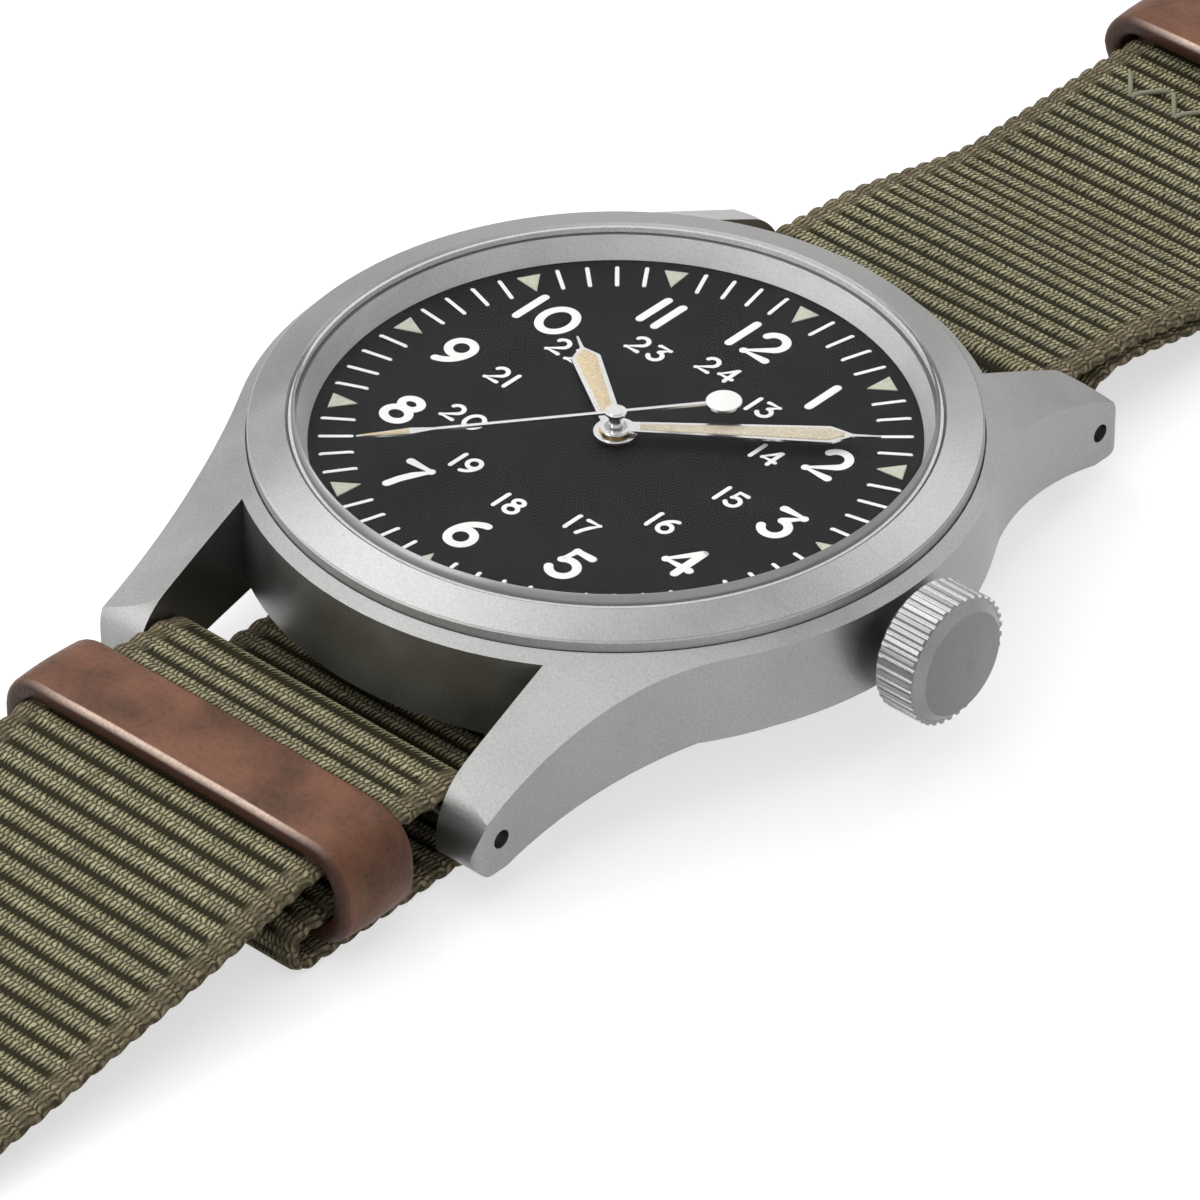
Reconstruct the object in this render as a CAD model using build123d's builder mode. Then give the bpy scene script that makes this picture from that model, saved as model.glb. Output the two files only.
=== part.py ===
from build123d import *
from math import atan2, cos, degrees, hypot, pi, radians, sin, sqrt, tan
import os

# Field watch, 38 mm, hand wound, on a 20 mm pass-through webbing strap that lies open on a table.
# Frame: origin on the table under the middle of the dial, +X to 3 o'clock and the crown, +Y to
# 12 o'clock, +Z out of the dial. Heights named _h are measured from the top of the dial, up positive.

# Driving dimensions
movement_r = 12.8
ring_w = 2.6
case_wall = 3.6
case_h = 0.5
case_floor_h = -4.6
case_back_h = -7.4
crystal_top_h = 2.2
lug_gap = 20.0
lug_w = 2.85
lug_reach = 4.75
bar_inset = 1.57
bar_axis_h = -5.49
bar_tip_r = 0.42
crown_r = 3.45
stem_h = -2.59
webbing_t = 0.8
leather_t = 1.2

# Clearances and overruns
overrun = 1.0
layer_gap = 0.05
run_gap = 0.05
press_gap = 0.01
thread_gap = 0.02
webbing_gap = 0.2
lug_hole_gap = 0.08

# Sizes that follow from the movement outwards, and from the lugs
dial_r = movement_r + ring_w
case_r = dial_r + case_wall
lug_outer_x = lug_gap / 2 + lug_w
lug_tip_y = case_r + lug_reach
bar_y = lug_tip_y - bar_inset
webbing_w = lug_gap - 2 * webbing_gap

# Heights above the table
case_bottom_z = 2 * webbing_t + 2 * layer_gap
dial_z = case_bottom_z - case_back_h
bar_z = dial_z + bar_axis_h

os.makedirs("parts", exist_ok=True)


def save(piece, name):
    """Labels a finished piece and writes it as parts/name.step."""
    piece.part.label = name
    export_step(piece.part, f"parts/{name}.step")


def level(height):
    """The horizontal plane at a height from the top of the dial."""
    return Plane.XY.offset(dial_z + height)


def level_at(x, y, height):
    """The horizontal plane at a height from the top of the dial, its origin at x, y."""
    return Plane(origin=(x, y, dial_z + height), z_dir=(0, 0, 1))


def stem_plane(x):
    """The plane square to the winding stem at x, looking outwards along the stem."""
    return Plane(origin=(x, 0, dial_z + stem_h), x_dir=(0, 1, 0), z_dir=(1, 0, 0))


def turned(outline):
    """A solid turned about the dial's axis from (radius, height) points."""
    with BuildPart() as ring:
        with BuildSketch(Plane.XZ):
            with BuildLine():
                Polyline(*[(r, dial_z + h) for r, h in outline], close=True)
            make_face()
        revolve(axis=Axis.Z)
    return ring


# Mid-case: round body, swept lugs, seats for bezel, back, crown tube and spring bars
lug_root_angle = 31.0
lug_top_h = 0.05
lug_slope_angle = 28.9
lug_reach_r = hypot(lug_outer_x, lug_tip_y) + overrun
lug_reach_h = lug_top_h - (lug_reach_r - case_r) * tan(radians(lug_slope_angle))
lug_corner_r = 0.6
lug_brow_step = 0.5
lug_brow_y = case_r + lug_brow_step
lug_nose_inset = 2.05
lug_nose_y = lug_tip_y - lug_nose_inset
lug_nose_h = -2.65
lug_chin_h = -6.1
lug_foot_h = -7.3
lug_foot_r = 1.0
lug_foot_inset = 1.9
lug_foot_y = lug_tip_y - lug_foot_inset
lug_arch_inset = 2.0
lug_arch_y = case_r - lug_arch_inset
lug_arch_h = -5.95
case_arch_inset = 8.0
case_arch_y = case_r - case_arch_inset
case_rim_r = case_r - (case_h - lug_top_h) / tan(radians(lug_slope_angle))
bezel_seat_h = -0.12
bezel_step = 0.8
bezel_r = case_r - bezel_step
bezel_groove = 0.08
case_bore_r = dial_r + run_gap
back_boss_step = 1.8
back_boss_r = case_r - back_boss_step
back_boss_h = -5.6
back_thread_wall = 0.55
back_thread_r = dial_r + back_thread_wall
back_thread_h = -4.9
lug_hole_r = bar_tip_r + lug_hole_gap
tube_r = 1.25

lug_root_x = case_r * cos(radians(lug_root_angle))
lug_root_y = case_r * sin(radians(lug_root_angle))
lug_root_tangent = (-sin(radians(lug_root_angle)), cos(radians(lug_root_angle)))


def lug_plan():
    """Plan of one end of the case: two lugs that leave the round body on tangent arcs."""
    with BuildSketch() as plan:
        with BuildLine():
            right = TangentArc(
                (lug_root_x, lug_root_y), (lug_outer_x, lug_tip_y), tangent=lug_root_tangent
            )
            tip = Line(right @ 1, (-lug_outer_x, lug_tip_y))
            left = TangentArc(
                (-lug_root_x, lug_root_y),
                (-lug_outer_x, lug_tip_y),
                tangent=(-lug_root_tangent[0], lug_root_tangent[1]),
            )
            Line(left @ 0, (0, 0))
            Line((0, 0), right @ 0)
        make_face()
        fillet(plan.vertices().group_by(Axis.Y)[-1], radius=lug_corner_r)
    return plan.sketch


def case_side_half(side):
    """Side view of half of the case, from the middle to the lug tip at side times y."""
    with BuildSketch() as profile:
        with BuildLine():
            top = Polyline(
                (0, dial_z + case_h),
                (side * lug_brow_y, dial_z + case_h),
                (side * lug_nose_y, dial_z + lug_nose_h),
            )
            nose = TangentArc(
                top @ 1,
                (side * lug_tip_y, dial_z + lug_chin_h),
                tangent=(side * cos(radians(lug_slope_angle)), -sin(radians(lug_slope_angle))),
            )
            foot = FilletPolyline(
                nose @ 1,
                (side * lug_tip_y, dial_z + lug_foot_h),
                (side * lug_foot_y, dial_z + lug_foot_h),
                radius=lug_foot_r,
            )
            arch = ThreePointArc(
                foot @ 1,
                (side * lug_arch_y, dial_z + lug_arch_h),
                (side * case_arch_y, dial_z + case_floor_h),
            )
            belly = Line(arch @ 1, (0, dial_z + case_floor_h))
            Line(belly @ 1, top @ 0)
        make_face()
    return profile.sketch


upper_lugs = lug_plan()
with BuildPart() as mid_case:
    with BuildSketch():
        Circle(case_r)
        add(upper_lugs)
        add(mirror(upper_lugs, about=Plane.XZ, mode=Mode.PRIVATE))
    extrude(amount=dial_z + case_h + overrun)
    with BuildSketch(Plane.YZ):
        add(case_side_half(1))
        add(case_side_half(-1))
    extrude(amount=case_r + overrun, both=True, mode=Mode.INTERSECT)
    with BuildSketch(Plane.XZ):
        with BuildLine():
            Polyline(
                (case_rim_r, dial_z + case_h + overrun),
                (case_rim_r, dial_z + case_h),
                (case_r, dial_z + lug_top_h),
                (lug_reach_r, dial_z + lug_reach_h),
                (lug_reach_r, dial_z + case_h + overrun),
                close=True,
            )
        make_face()
    revolve(axis=Axis.Z, mode=Mode.SUBTRACT)
    with BuildSketch():
        for side in (1, -1):
            with Locations((0, side * (lug_tip_y + overrun) / 2)):
                Rectangle(lug_gap, lug_tip_y + overrun)
        Circle(case_r, mode=Mode.SUBTRACT)
    extrude(amount=dial_z + case_h + overrun, mode=Mode.SUBTRACT)
    with BuildSketch():
        Rectangle(lug_gap, 2 * lug_tip_y + overrun)
        Circle(back_boss_r)
    extrude(amount=dial_z + case_floor_h, mode=Mode.SUBTRACT)
    with BuildSketch(level(back_boss_h)):
        Circle(back_boss_r)
    extrude(amount=case_floor_h - back_boss_h + overrun)
    with BuildSketch(level(bezel_seat_h)):
        Circle(bezel_r + bezel_groove)
    extrude(amount=case_h - bezel_seat_h + overrun, mode=Mode.SUBTRACT)
    with BuildSketch(level(back_thread_h)):
        Circle(case_bore_r)
    extrude(amount=case_h - back_thread_h + overrun, mode=Mode.SUBTRACT)
    with BuildSketch(level(back_boss_h)):
        Circle(back_thread_r)
    extrude(amount=back_thread_h - back_boss_h, mode=Mode.SUBTRACT)
    with BuildSketch(stem_plane(0)):
        Circle(tube_r + press_gap)
    extrude(amount=case_r + overrun, mode=Mode.SUBTRACT)
    with BuildSketch(Plane.YZ):
        with Locations((bar_y, bar_z), (-bar_y, bar_z)):
            Circle(lug_hole_r)
    extrude(amount=case_r, both=True, mode=Mode.SUBTRACT)
save(mid_case, "mid_case")

# Bezel: sloped brushed ring with a thin polished inner edge and the rehaut that runs down to the dial

bezel_wall_h = 0.96
bezel_edge = 0.1
bezel_ridge_step = 0.9
bezel_ridge_r = dial_r + bezel_ridge_step
bezel_ridge_h = 1.63
bezel_lip = 0.16
crystal_seat_h = 1.25
crystal_seat_step = 0.34
crystal_seat_r = dial_r + crystal_seat_step
rehaut_cover = 0.18
rehaut_foot_r = dial_r - rehaut_cover
rehaut_gap = 0.04
gasket_t = 0.16
crystal_pocket_r = bezel_ridge_r - bezel_lip

bezel = turned(
    [
        (dial_r + run_gap, bezel_seat_h),
        (bezel_r, bezel_seat_h),
        (bezel_r, bezel_wall_h),
        (bezel_r - bezel_edge, bezel_wall_h + bezel_edge),
        (bezel_ridge_r, bezel_ridge_h),
        (crystal_pocket_r, bezel_ridge_h - bezel_edge),
        (crystal_pocket_r, crystal_seat_h),
        (crystal_seat_r, crystal_seat_h),
        (rehaut_foot_r, rehaut_gap),
        (dial_r + run_gap, rehaut_gap),
    ]
)
save(bezel, "bezel")

# Crystal: hollow over the hands, a bevelled wall proud of the bezel, slightly domed on top, in a clear gasket

crystal_r = crystal_pocket_r - gasket_t - press_gap
crystal_wall_h = 1.92
crystal_wall_w = 0.45
crystal_bevel = 0.24
crystal_under_h = 1.68
crystal_gasket_h = bezel_ridge_h - bezel_edge

with BuildPart() as crystal:
    with BuildSketch(Plane.XZ):
        with BuildLine():
            base = Polyline(
                (0, dial_z + crystal_top_h),
                (0, dial_z + crystal_under_h),
                (crystal_r - crystal_wall_w - crystal_bevel, dial_z + crystal_under_h),
                (crystal_r - crystal_wall_w, dial_z + crystal_seat_h),
                (crystal_r, dial_z + crystal_seat_h),
                (crystal_r, dial_z + crystal_wall_h),
                (crystal_r - crystal_bevel, dial_z + crystal_wall_h + crystal_bevel),
            )
            TangentArc(base @ 0, base @ 1, tangent=(1, 0))
        make_face()
    revolve(axis=Axis.Z)
save(crystal, "crystal")

crystal_gasket = turned(
    [
        (crystal_r + press_gap, crystal_seat_h),
        (crystal_pocket_r, crystal_seat_h),
        (crystal_pocket_r, crystal_gasket_h),
        (crystal_r + press_gap, crystal_gasket_h),
    ]
)
save(crystal_gasket, "crystal_gasket")

# Screw-down case back with six key notches, and its gasket

back_flange_step = 0.4
back_flange_r = back_boss_r - back_flange_step
back_flange_h = -5.66
back_rim_h = -6.5
back_bevel = 1.4
back_floor_r = back_flange_r - back_bevel
back_skirt_w = 1.25
back_inner_r = back_thread_r - back_skirt_w
back_inner_h = -5.35
back_ring_h = -4.95
notch_w = 2.2
notch_depth = 0.9
notch_reach = 1.0
notch_r = back_floor_r + notch_reach
notch_count = 6
back_gasket_step = 0.2
back_gasket_r = back_thread_r + back_gasket_step
back_gasket_w = 0.4
back_gasket_groove = 0.35

back_body = turned(
    [
        (0, case_back_h),
        (back_floor_r, case_back_h),
        (back_flange_r, back_rim_h),
        (back_flange_r, back_flange_h),
        (back_gasket_r + back_gasket_w, back_flange_h),
        (back_gasket_r + back_gasket_w, back_flange_h - back_gasket_groove),
        (back_gasket_r, back_flange_h - back_gasket_groove),
        (back_gasket_r, back_flange_h),
        (back_thread_r - thread_gap, back_flange_h),
        (back_thread_r - thread_gap, back_ring_h),
        (back_inner_r, back_ring_h),
        (back_inner_r, back_inner_h),
        (0, back_inner_h),
    ]
)
with BuildPart() as case_back:
    add(back_body.part)
    with BuildSketch(level(case_back_h)):
        with PolarLocations(notch_r, notch_count):
            Rectangle(2 * notch_reach, notch_w)
    extrude(amount=notch_depth, mode=Mode.SUBTRACT)
save(case_back, "case_back")

case_back_gasket = turned(
    [
        (back_gasket_r + press_gap, back_flange_h - back_gasket_groove),
        (back_gasket_r + back_gasket_w - press_gap, back_flange_h - back_gasket_groove),
        (back_gasket_r + back_gasket_w - press_gap, back_boss_h - press_gap),
        (back_gasket_r + press_gap, back_boss_h - press_gap),
    ]
)
save(case_back_gasket, "case_back_gasket")

# Crown tube, pressed into the case at 3 o'clock

tube_bore_r = 0.8
tube_inner_x = case_bore_r + run_gap
tube_reach = 2.0
tube_outer_x = case_r + tube_reach

with BuildPart() as crown_tube:
    with BuildSketch(stem_plane(tube_inner_x)):
        Circle(tube_r)
        Circle(tube_bore_r, mode=Mode.SUBTRACT)
    extrude(amount=tube_outer_x - tube_inner_x)
save(crown_tube, "crown_tube")

# Dial: flat disc with a centre hole and two feet that locate it in the main plate

dial_t = 0.4
dial_hole_r = 0.95
dial_foot_r = 0.35
dial_foot_length = 1.0
dial_foot_inset = 1.2
dial_foot_place_r = movement_r - dial_foot_inset
dial_foot_angles = (35, 215)

with BuildPart() as dial:
    with BuildSketch(level(-dial_t)):
        Circle(dial_r)
        Circle(dial_hole_r, mode=Mode.SUBTRACT)
    extrude(amount=dial_t)
    with BuildSketch(level(-dial_t)):
        for angle in dial_foot_angles:
            with PolarLocations(dial_foot_place_r, 1, start_angle=angle):
                Circle(dial_foot_r)
    extrude(amount=-dial_foot_length)
save(dial, "dial")

# Movement layout, as seen from the dial: gear counts and places on the plate

plate_top_h = -dial_t - layer_gap
plate_floor_h = -2.6
lever_recess = 0.32
bridge_top_h = -3.6
bridge_floor_h = -4.0
recess_floor_h = -1.15

centre_teeth, third_pinion_teeth = 80, 10
third_teeth, fourth_pinion_teeth = 75, 10
fourth_teeth, escape_pinion_teeth = 96, 8
barrel_teeth, centre_pinion_teeth = 75, 10
cannon_teeth, minute_teeth = 10, 30
minute_pinion_teeth, hour_teeth = 8, 32
crown_wheel_teeth, ratchet_teeth = 33, 31
mesh_gap = 0.02

train_radius = 4.05
third_angle = 295.0
third_x = train_radius * cos(radians(third_angle))
third_y = train_radius * sin(radians(third_angle))

escape_radius = 3.95
escape_angle = 200.0
escape_x = escape_radius * cos(radians(escape_angle))
escape_y = escape_radius * sin(radians(escape_angle))

balance_x = -6.9
balance_y = -4.4
escape_to_balance = hypot(balance_x - escape_x, balance_y - escape_y)
escape_line = degrees(atan2(balance_y - escape_y, balance_x - escape_x))
pallet_from_escape = 2.08
pallet_x = escape_x + pallet_from_escape * cos(radians(escape_line))
pallet_y = escape_y + pallet_from_escape * sin(radians(escape_line))

barrel_radius = 6.12
barrel_angle = 60.0
barrel_x = barrel_radius * cos(radians(barrel_angle))
barrel_y = barrel_radius * sin(radians(barrel_angle))

motion_radius = 2.6
motion_angle = 320.0
minute_x = motion_radius * cos(radians(motion_angle))
minute_y = motion_radius * sin(radians(motion_angle))

winding_module = 0.199
crown_wheel_r = winding_module * crown_wheel_teeth / 2
ratchet_r = winding_module * ratchet_teeth / 2
crown_wheel_x = barrel_x + sqrt((crown_wheel_r + ratchet_r) ** 2 - barrel_y**2)


def pitch(distance, teeth, other):
    """Pitch radius of a wheel with teeth that meshes at distance with another, less half the play."""
    return distance * teeth / (teeth + other) - mesh_gap / 2


# Wheel levels, from the top of the dial down
wheel_t = 0.14
centre_wheel_h = -2.98
third_wheel_h = -3.2
fourth_wheel_h = -3.42
escape_wheel_h = -2.64
barrel_floor_h = -2.78
barrel_top_h = -1.5
pinion_h = 0.3
arbor_r = 0.16
hole_gap = 0.04
seconds_arbor_r = 0.12
centre_arbor_r = 0.36
cannon_bore_r = centre_arbor_r + press_gap
escape_clear = 0.28
escape_r = pallet_from_escape - escape_clear
barrel_r = pitch(barrel_radius, barrel_teeth, centre_pinion_teeth)
centre_pinion_r = pitch(barrel_radius, centre_pinion_teeth, barrel_teeth)
centre_wheel_r = pitch(train_radius, centre_teeth, third_pinion_teeth)
third_wheel_r = pitch(train_radius, third_teeth, fourth_pinion_teeth)
fourth_pinion_r = pitch(train_radius, fourth_pinion_teeth, third_teeth)
third_pinion_r = pitch(train_radius, third_pinion_teeth, centre_teeth)
fourth_wheel_r = pitch(escape_radius, fourth_teeth, escape_pinion_teeth)
escape_pinion_r = pitch(escape_radius, escape_pinion_teeth, fourth_teeth)
balance_clear = 0.1
balance_r = escape_to_balance - escape_pinion_r - balance_clear
cannon_wheel_r = pitch(motion_radius, cannon_teeth, minute_teeth)
cannon_tooth = 0.08
cannon_r = cannon_wheel_r - cannon_tooth
hour_pipe_bore_r = cannon_r + run_gap
hour_pipe_wall = 0.21
hour_pipe_r = hour_pipe_bore_r + hour_pipe_wall
minute_wheel_r = pitch(motion_radius, minute_teeth, cannon_teeth)
minute_pinion_r = pitch(motion_radius, minute_pinion_teeth, hour_teeth)
hour_wheel_r = pitch(motion_radius, hour_teeth, minute_pinion_teeth)

# Keyless works along the stem
stem_r = 0.6
square_w = 0.8
pinion_r = 1.38
winding_pinion_x = 9.3
winding_pinion_l = 1.4
sliding_pinion_l = 1.3
sliding_travel = 0.62
crown_pull = 0.9
stem_square_l = 1.9
stem_inner_x = winding_pinion_x - stem_square_l
stem_groove_step = 0.5
stem_groove_x = winding_pinion_x + winding_pinion_l + stem_groove_step
stem_groove_r = 0.35
stem_groove_w = 0.4
lever_arm = 3.2
yoke_arm = 3.6
lever_w = 0.7
lever_pin_r = 0.18
post_r = 0.2
sliding_pinion_x = winding_pinion_x - run_gap - sliding_pinion_l
stem_slot_w = 3.0
setting_wheel_r = 1.8
setting_wheel_x = 5.45
setting_wheel_y = minute_y + sqrt(
    (minute_wheel_r + setting_wheel_r + mesh_gap) ** 2 - (setting_wheel_x - minute_x) ** 2
)

yoke_pin_x = sliding_pinion_x + sliding_pinion_l / 2
lever_x = stem_groove_x + crown_pull / 2
yoke_x = yoke_pin_x - sliding_travel / 2

# Movement ring that fills the space between movement and case
ring_inner_r = movement_r + press_gap + layer_gap
ring_floor_h = bridge_floor_h
ring_stem_hole_r = 1.0

with BuildPart() as movement_ring:
    with BuildSketch(level(ring_floor_h)):
        Circle(dial_r)
        Circle(ring_inner_r, mode=Mode.SUBTRACT)
    extrude(amount=plate_top_h - ring_floor_h)
    with BuildSketch(stem_plane(0)):
        Circle(ring_stem_hole_r)
    extrude(amount=case_r, mode=Mode.SUBTRACT)
save(movement_ring, "movement_ring")

# Main plate, with its recess for the motion works, pocket for the barrel and slot for the stem

barrel_pocket_gap = 0.12
train_screw_shares = ((170, 0.672), (262, 0.812))
barrel_screw_shares = ((48, 0.937), (118, 0.86), (343, 0.898))
cock_screw_share = (240, 0.93)
screw_r = 0.35
screw_head_r = 0.6
screw_head_t = 0.28
pillar_r = 0.6
pivot_depth = 0.5


def polar_place(place):
    """The x, y of a place on the plate, given as an angle and a share of the plate's radius."""
    angle, share = place
    return share * movement_r * cos(radians(angle)), share * movement_r * sin(radians(angle))


with BuildPart() as main_plate:
    with BuildSketch(level(plate_floor_h)):
        Circle(movement_r)
    extrude(amount=plate_top_h - plate_floor_h)
    with BuildSketch(level(recess_floor_h)):
        Circle(hour_wheel_r + run_gap)
        with Locations((minute_x, minute_y)):
            Circle(minute_wheel_r + run_gap)
        with Locations((setting_wheel_x, setting_wheel_y)):
            Circle(setting_wheel_r + run_gap)
    extrude(amount=plate_top_h - recess_floor_h, mode=Mode.SUBTRACT)
    with BuildSketch(level(plate_floor_h)):
        with Locations((barrel_x, barrel_y)):
            Circle(barrel_r + barrel_pocket_gap)
        Circle(centre_pinion_r + barrel_pocket_gap)
    extrude(amount=barrel_top_h + barrel_pocket_gap / 2 - plate_floor_h, mode=Mode.SUBTRACT)
    with BuildSketch(level(plate_floor_h)):
        Circle(centre_arbor_r + hole_gap)
        for angle in dial_foot_angles:
            with PolarLocations(dial_foot_place_r, 1, start_angle=angle):
                Circle(dial_foot_r + press_gap)
    extrude(amount=plate_top_h - plate_floor_h, mode=Mode.SUBTRACT)
    with BuildSketch(level(plate_floor_h)):
        with Locations((third_x, third_y), (escape_x, escape_y), (pallet_x, pallet_y), (balance_x, balance_y)):
            Circle(arbor_r + hole_gap)
    extrude(amount=pivot_depth, mode=Mode.SUBTRACT)
    with BuildSketch(level(plate_floor_h)):
        with Locations((barrel_x, barrel_y)):
            Circle(2 * arbor_r + hole_gap)
    extrude(amount=recess_floor_h - plate_floor_h, mode=Mode.SUBTRACT)
    with BuildSketch(Plane.XZ.offset(-stem_slot_w / 2)):
        with BuildLine():
            Polyline(
                (sliding_pinion_x - sliding_travel - run_gap, dial_z + plate_floor_h),
                (movement_r, dial_z + plate_floor_h),
                (movement_r, dial_z + stem_h + stem_r + run_gap),
                (winding_pinion_x + winding_pinion_l + run_gap, dial_z + stem_h + stem_r + run_gap),
                (winding_pinion_x + winding_pinion_l + run_gap, dial_z + stem_h + pinion_r + run_gap),
                (
                    sliding_pinion_x - sliding_travel - run_gap,
                    dial_z + stem_h + pinion_r + run_gap,
                ),
                close=True,
            )
        make_face()
    extrude(amount=stem_slot_w, mode=Mode.SUBTRACT)
    with BuildSketch(level(plate_floor_h)):
        with Locations(*[polar_place(p) for p in (*train_screw_shares, *barrel_screw_shares, cock_screw_share)]):
            Circle(screw_r + press_gap)
    extrude(amount=pillar_r, mode=Mode.SUBTRACT)
    with BuildSketch(level(plate_top_h - lever_recess)):
        with Locations((lever_x, lever_arm / 2)):
            Rectangle(crown_pull + 2 * lever_w, lever_arm + 2 * lever_w)
        with Locations((yoke_x, -yoke_arm / 2)):
            Rectangle(sliding_travel + 2 * lever_w, yoke_arm + 2 * lever_w)
    extrude(amount=lever_recess, mode=Mode.SUBTRACT)
    with BuildSketch(level(plate_floor_h)):
        with Locations((lever_x, 0)):
            SlotCenterToCenter(crown_pull, 4 * lever_pin_r)
        with Locations((yoke_x, 0)):
            SlotCenterToCenter(sliding_travel, 4 * lever_pin_r)
        with Locations((lever_x, lever_arm), (yoke_x, -yoke_arm)):
            Circle(lever_pin_r + hole_gap)
    extrude(amount=plate_top_h - plate_floor_h, mode=Mode.SUBTRACT)
    with BuildSketch(level(recess_floor_h)):
        with Locations((minute_x, minute_y), (setting_wheel_x, setting_wheel_y)):
            Circle(post_r)
    extrude(amount=plate_top_h - recess_floor_h)
save(main_plate, "main_plate")

# Going train: each wheel is one solid with its arbor and pinion

def wheel(x, y, levels):
    """A wheel with its arbor: a stack of (radius, low height, high height) discs on one axis."""
    with BuildPart() as stack:
        for radius, low, high in levels:
            with BuildSketch(level_at(x, y, low)):
                Circle(radius)
            extrude(amount=high - low)
    return stack


pivot_floor_h = bridge_top_h - pivot_depth
pivot_top_h = plate_floor_h + pivot_depth
pivot_r = arbor_r
hand_t = 0.12
hour_hand_h = 0.24
minute_hand_h = 0.52
seconds_hand_h = 1.42
seconds_cap_h = 1.6

with BuildPart() as centre_wheel:
    with BuildSketch(level(centre_wheel_h)):
        Circle(centre_wheel_r)
    extrude(amount=wheel_t)
    with BuildSketch(level(centre_wheel_h)):
        Circle(centre_pinion_r)
    extrude(amount=barrel_top_h - centre_wheel_h)
    with BuildSketch(level(centre_wheel_h)):
        Circle(centre_arbor_r)
    extrude(amount=minute_hand_h - centre_wheel_h)
    with BuildSketch(level(centre_wheel_h)):
        Circle(seconds_arbor_r + hole_gap)
    extrude(amount=minute_hand_h - centre_wheel_h, mode=Mode.SUBTRACT)
save(centre_wheel, "centre_wheel")

third_wheel = wheel(
    third_x,
    third_y,
    [
        (pivot_r, pivot_floor_h, pivot_top_h - run_gap),
        (third_pinion_r, third_wheel_h, centre_wheel_h + wheel_t + run_gap),
        (third_wheel_r, third_wheel_h, third_wheel_h + wheel_t),
    ],
)
save(third_wheel, "third_wheel")

fourth_wheel = wheel(
    0,
    0,
    [
        (seconds_arbor_r, pivot_floor_h, seconds_hand_h + hand_t),
        (fourth_pinion_r, fourth_wheel_h, third_wheel_h + wheel_t),
        (fourth_wheel_r, fourth_wheel_h, fourth_wheel_h + wheel_t),
    ],
)
save(fourth_wheel, "fourth_wheel")

escape_tooth_count = 15
escape_tooth_depth_share = 0.8
escape_undercut_share = 0.3
escape_wheel_core = wheel(
    escape_x,
    escape_y,
    [
        (pivot_r, pivot_floor_h, pivot_top_h - run_gap),
        (escape_pinion_r, fourth_wheel_h - run_gap, escape_wheel_h),
    ],
)
with BuildPart() as escape_wheel:
    add(escape_wheel_core.part)
    with BuildSketch(level_at(escape_x, escape_y, escape_wheel_h - wheel_t)):
        with BuildLine():
            for tooth in range(escape_tooth_count):
                tip = 360 * tooth / escape_tooth_count
                gap = 360 * (tooth + escape_undercut_share) / escape_tooth_count
                after = 360 * (tooth + 1) / escape_tooth_count
                root_r = escape_tooth_depth_share * escape_r
                Line(
                    (escape_r * cos(radians(tip)), escape_r * sin(radians(tip))),
                    (root_r * cos(radians(gap)), root_r * sin(radians(gap))),
                )
                Line(
                    (root_r * cos(radians(gap)), root_r * sin(radians(gap))),
                    (escape_r * cos(radians(after)), escape_r * sin(radians(after))),
                )
        make_face()
    extrude(amount=wheel_t)
save(escape_wheel, "escape_wheel")

# Pallet fork, held between the plate and its own small bridge

fork_floor_h = escape_wheel_h - wheel_t
pallet_bridge_h = -3.04
pallet_bridge_t = 0.18
pallet_bridge_span = 4.2
pallet_bridge_w = 1.1
fork_w = 0.3
pallet_arm = 1.25
pallet_tip = 0.62
roller_r = 0.28
fork_reach = escape_to_balance - pallet_from_escape - roller_r - run_gap
fork_plane = Plane(
    origin=(pallet_x, pallet_y, dial_z + fork_floor_h),
    x_dir=(cos(radians(escape_line)), sin(radians(escape_line)), 0),
    z_dir=(0, 0, 1),
)

with BuildPart() as pallet_fork:
    with BuildSketch(fork_plane):
        Circle(2 * arbor_r)
        with Locations((fork_reach / 2, 0)):
            Rectangle(fork_reach, fork_w)
        for side in (1, -1):
            with BuildLine():
                Polyline(
                    (0, side * fork_w / 2),
                    (fork_w / 2 - pallet_tip, side * pallet_arm),
                    (-pallet_tip, side * pallet_arm),
                    (-fork_w / 2, 0),
                    close=True,
                )
            make_face()
    extrude(amount=wheel_t)
    with BuildSketch(level_at(pallet_x, pallet_y, pallet_bridge_h)):
        Circle(pivot_r)
    extrude(amount=pivot_top_h - run_gap - pallet_bridge_h)
save(pallet_fork, "pallet_fork")

with BuildPart() as pallet_bridge:
    with BuildSketch(fork_plane.offset(pallet_bridge_h - fork_floor_h)):
        SlotOverall(pallet_bridge_span, pallet_bridge_w, rotation=90)
        Circle(pivot_r + hole_gap, mode=Mode.SUBTRACT)
    extrude(amount=pallet_bridge_t)
    with BuildSketch(fork_plane.offset(pallet_bridge_h - fork_floor_h)):
        for side in (1, -1):
            with Locations((0, side * (pallet_bridge_span - pallet_bridge_w) / 2)):
                Circle(pallet_bridge_w / 2)
    extrude(amount=plate_floor_h - pallet_bridge_h)
save(pallet_bridge, "pallet_bridge")

# Balance wheel with its staff and roller, and the flat hairspring above it

balance_rim_w = 0.5
balance_rim_t = 0.32
balance_h = -3.5
balance_arm_w = 0.5
hairspring_h = -3.58
hairspring_t = 0.02
hairspring_outer_r = 2.6
hairspring_inner_r = 0.6
hairspring_w = 0.1
cock_floor_h = -3.72

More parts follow.
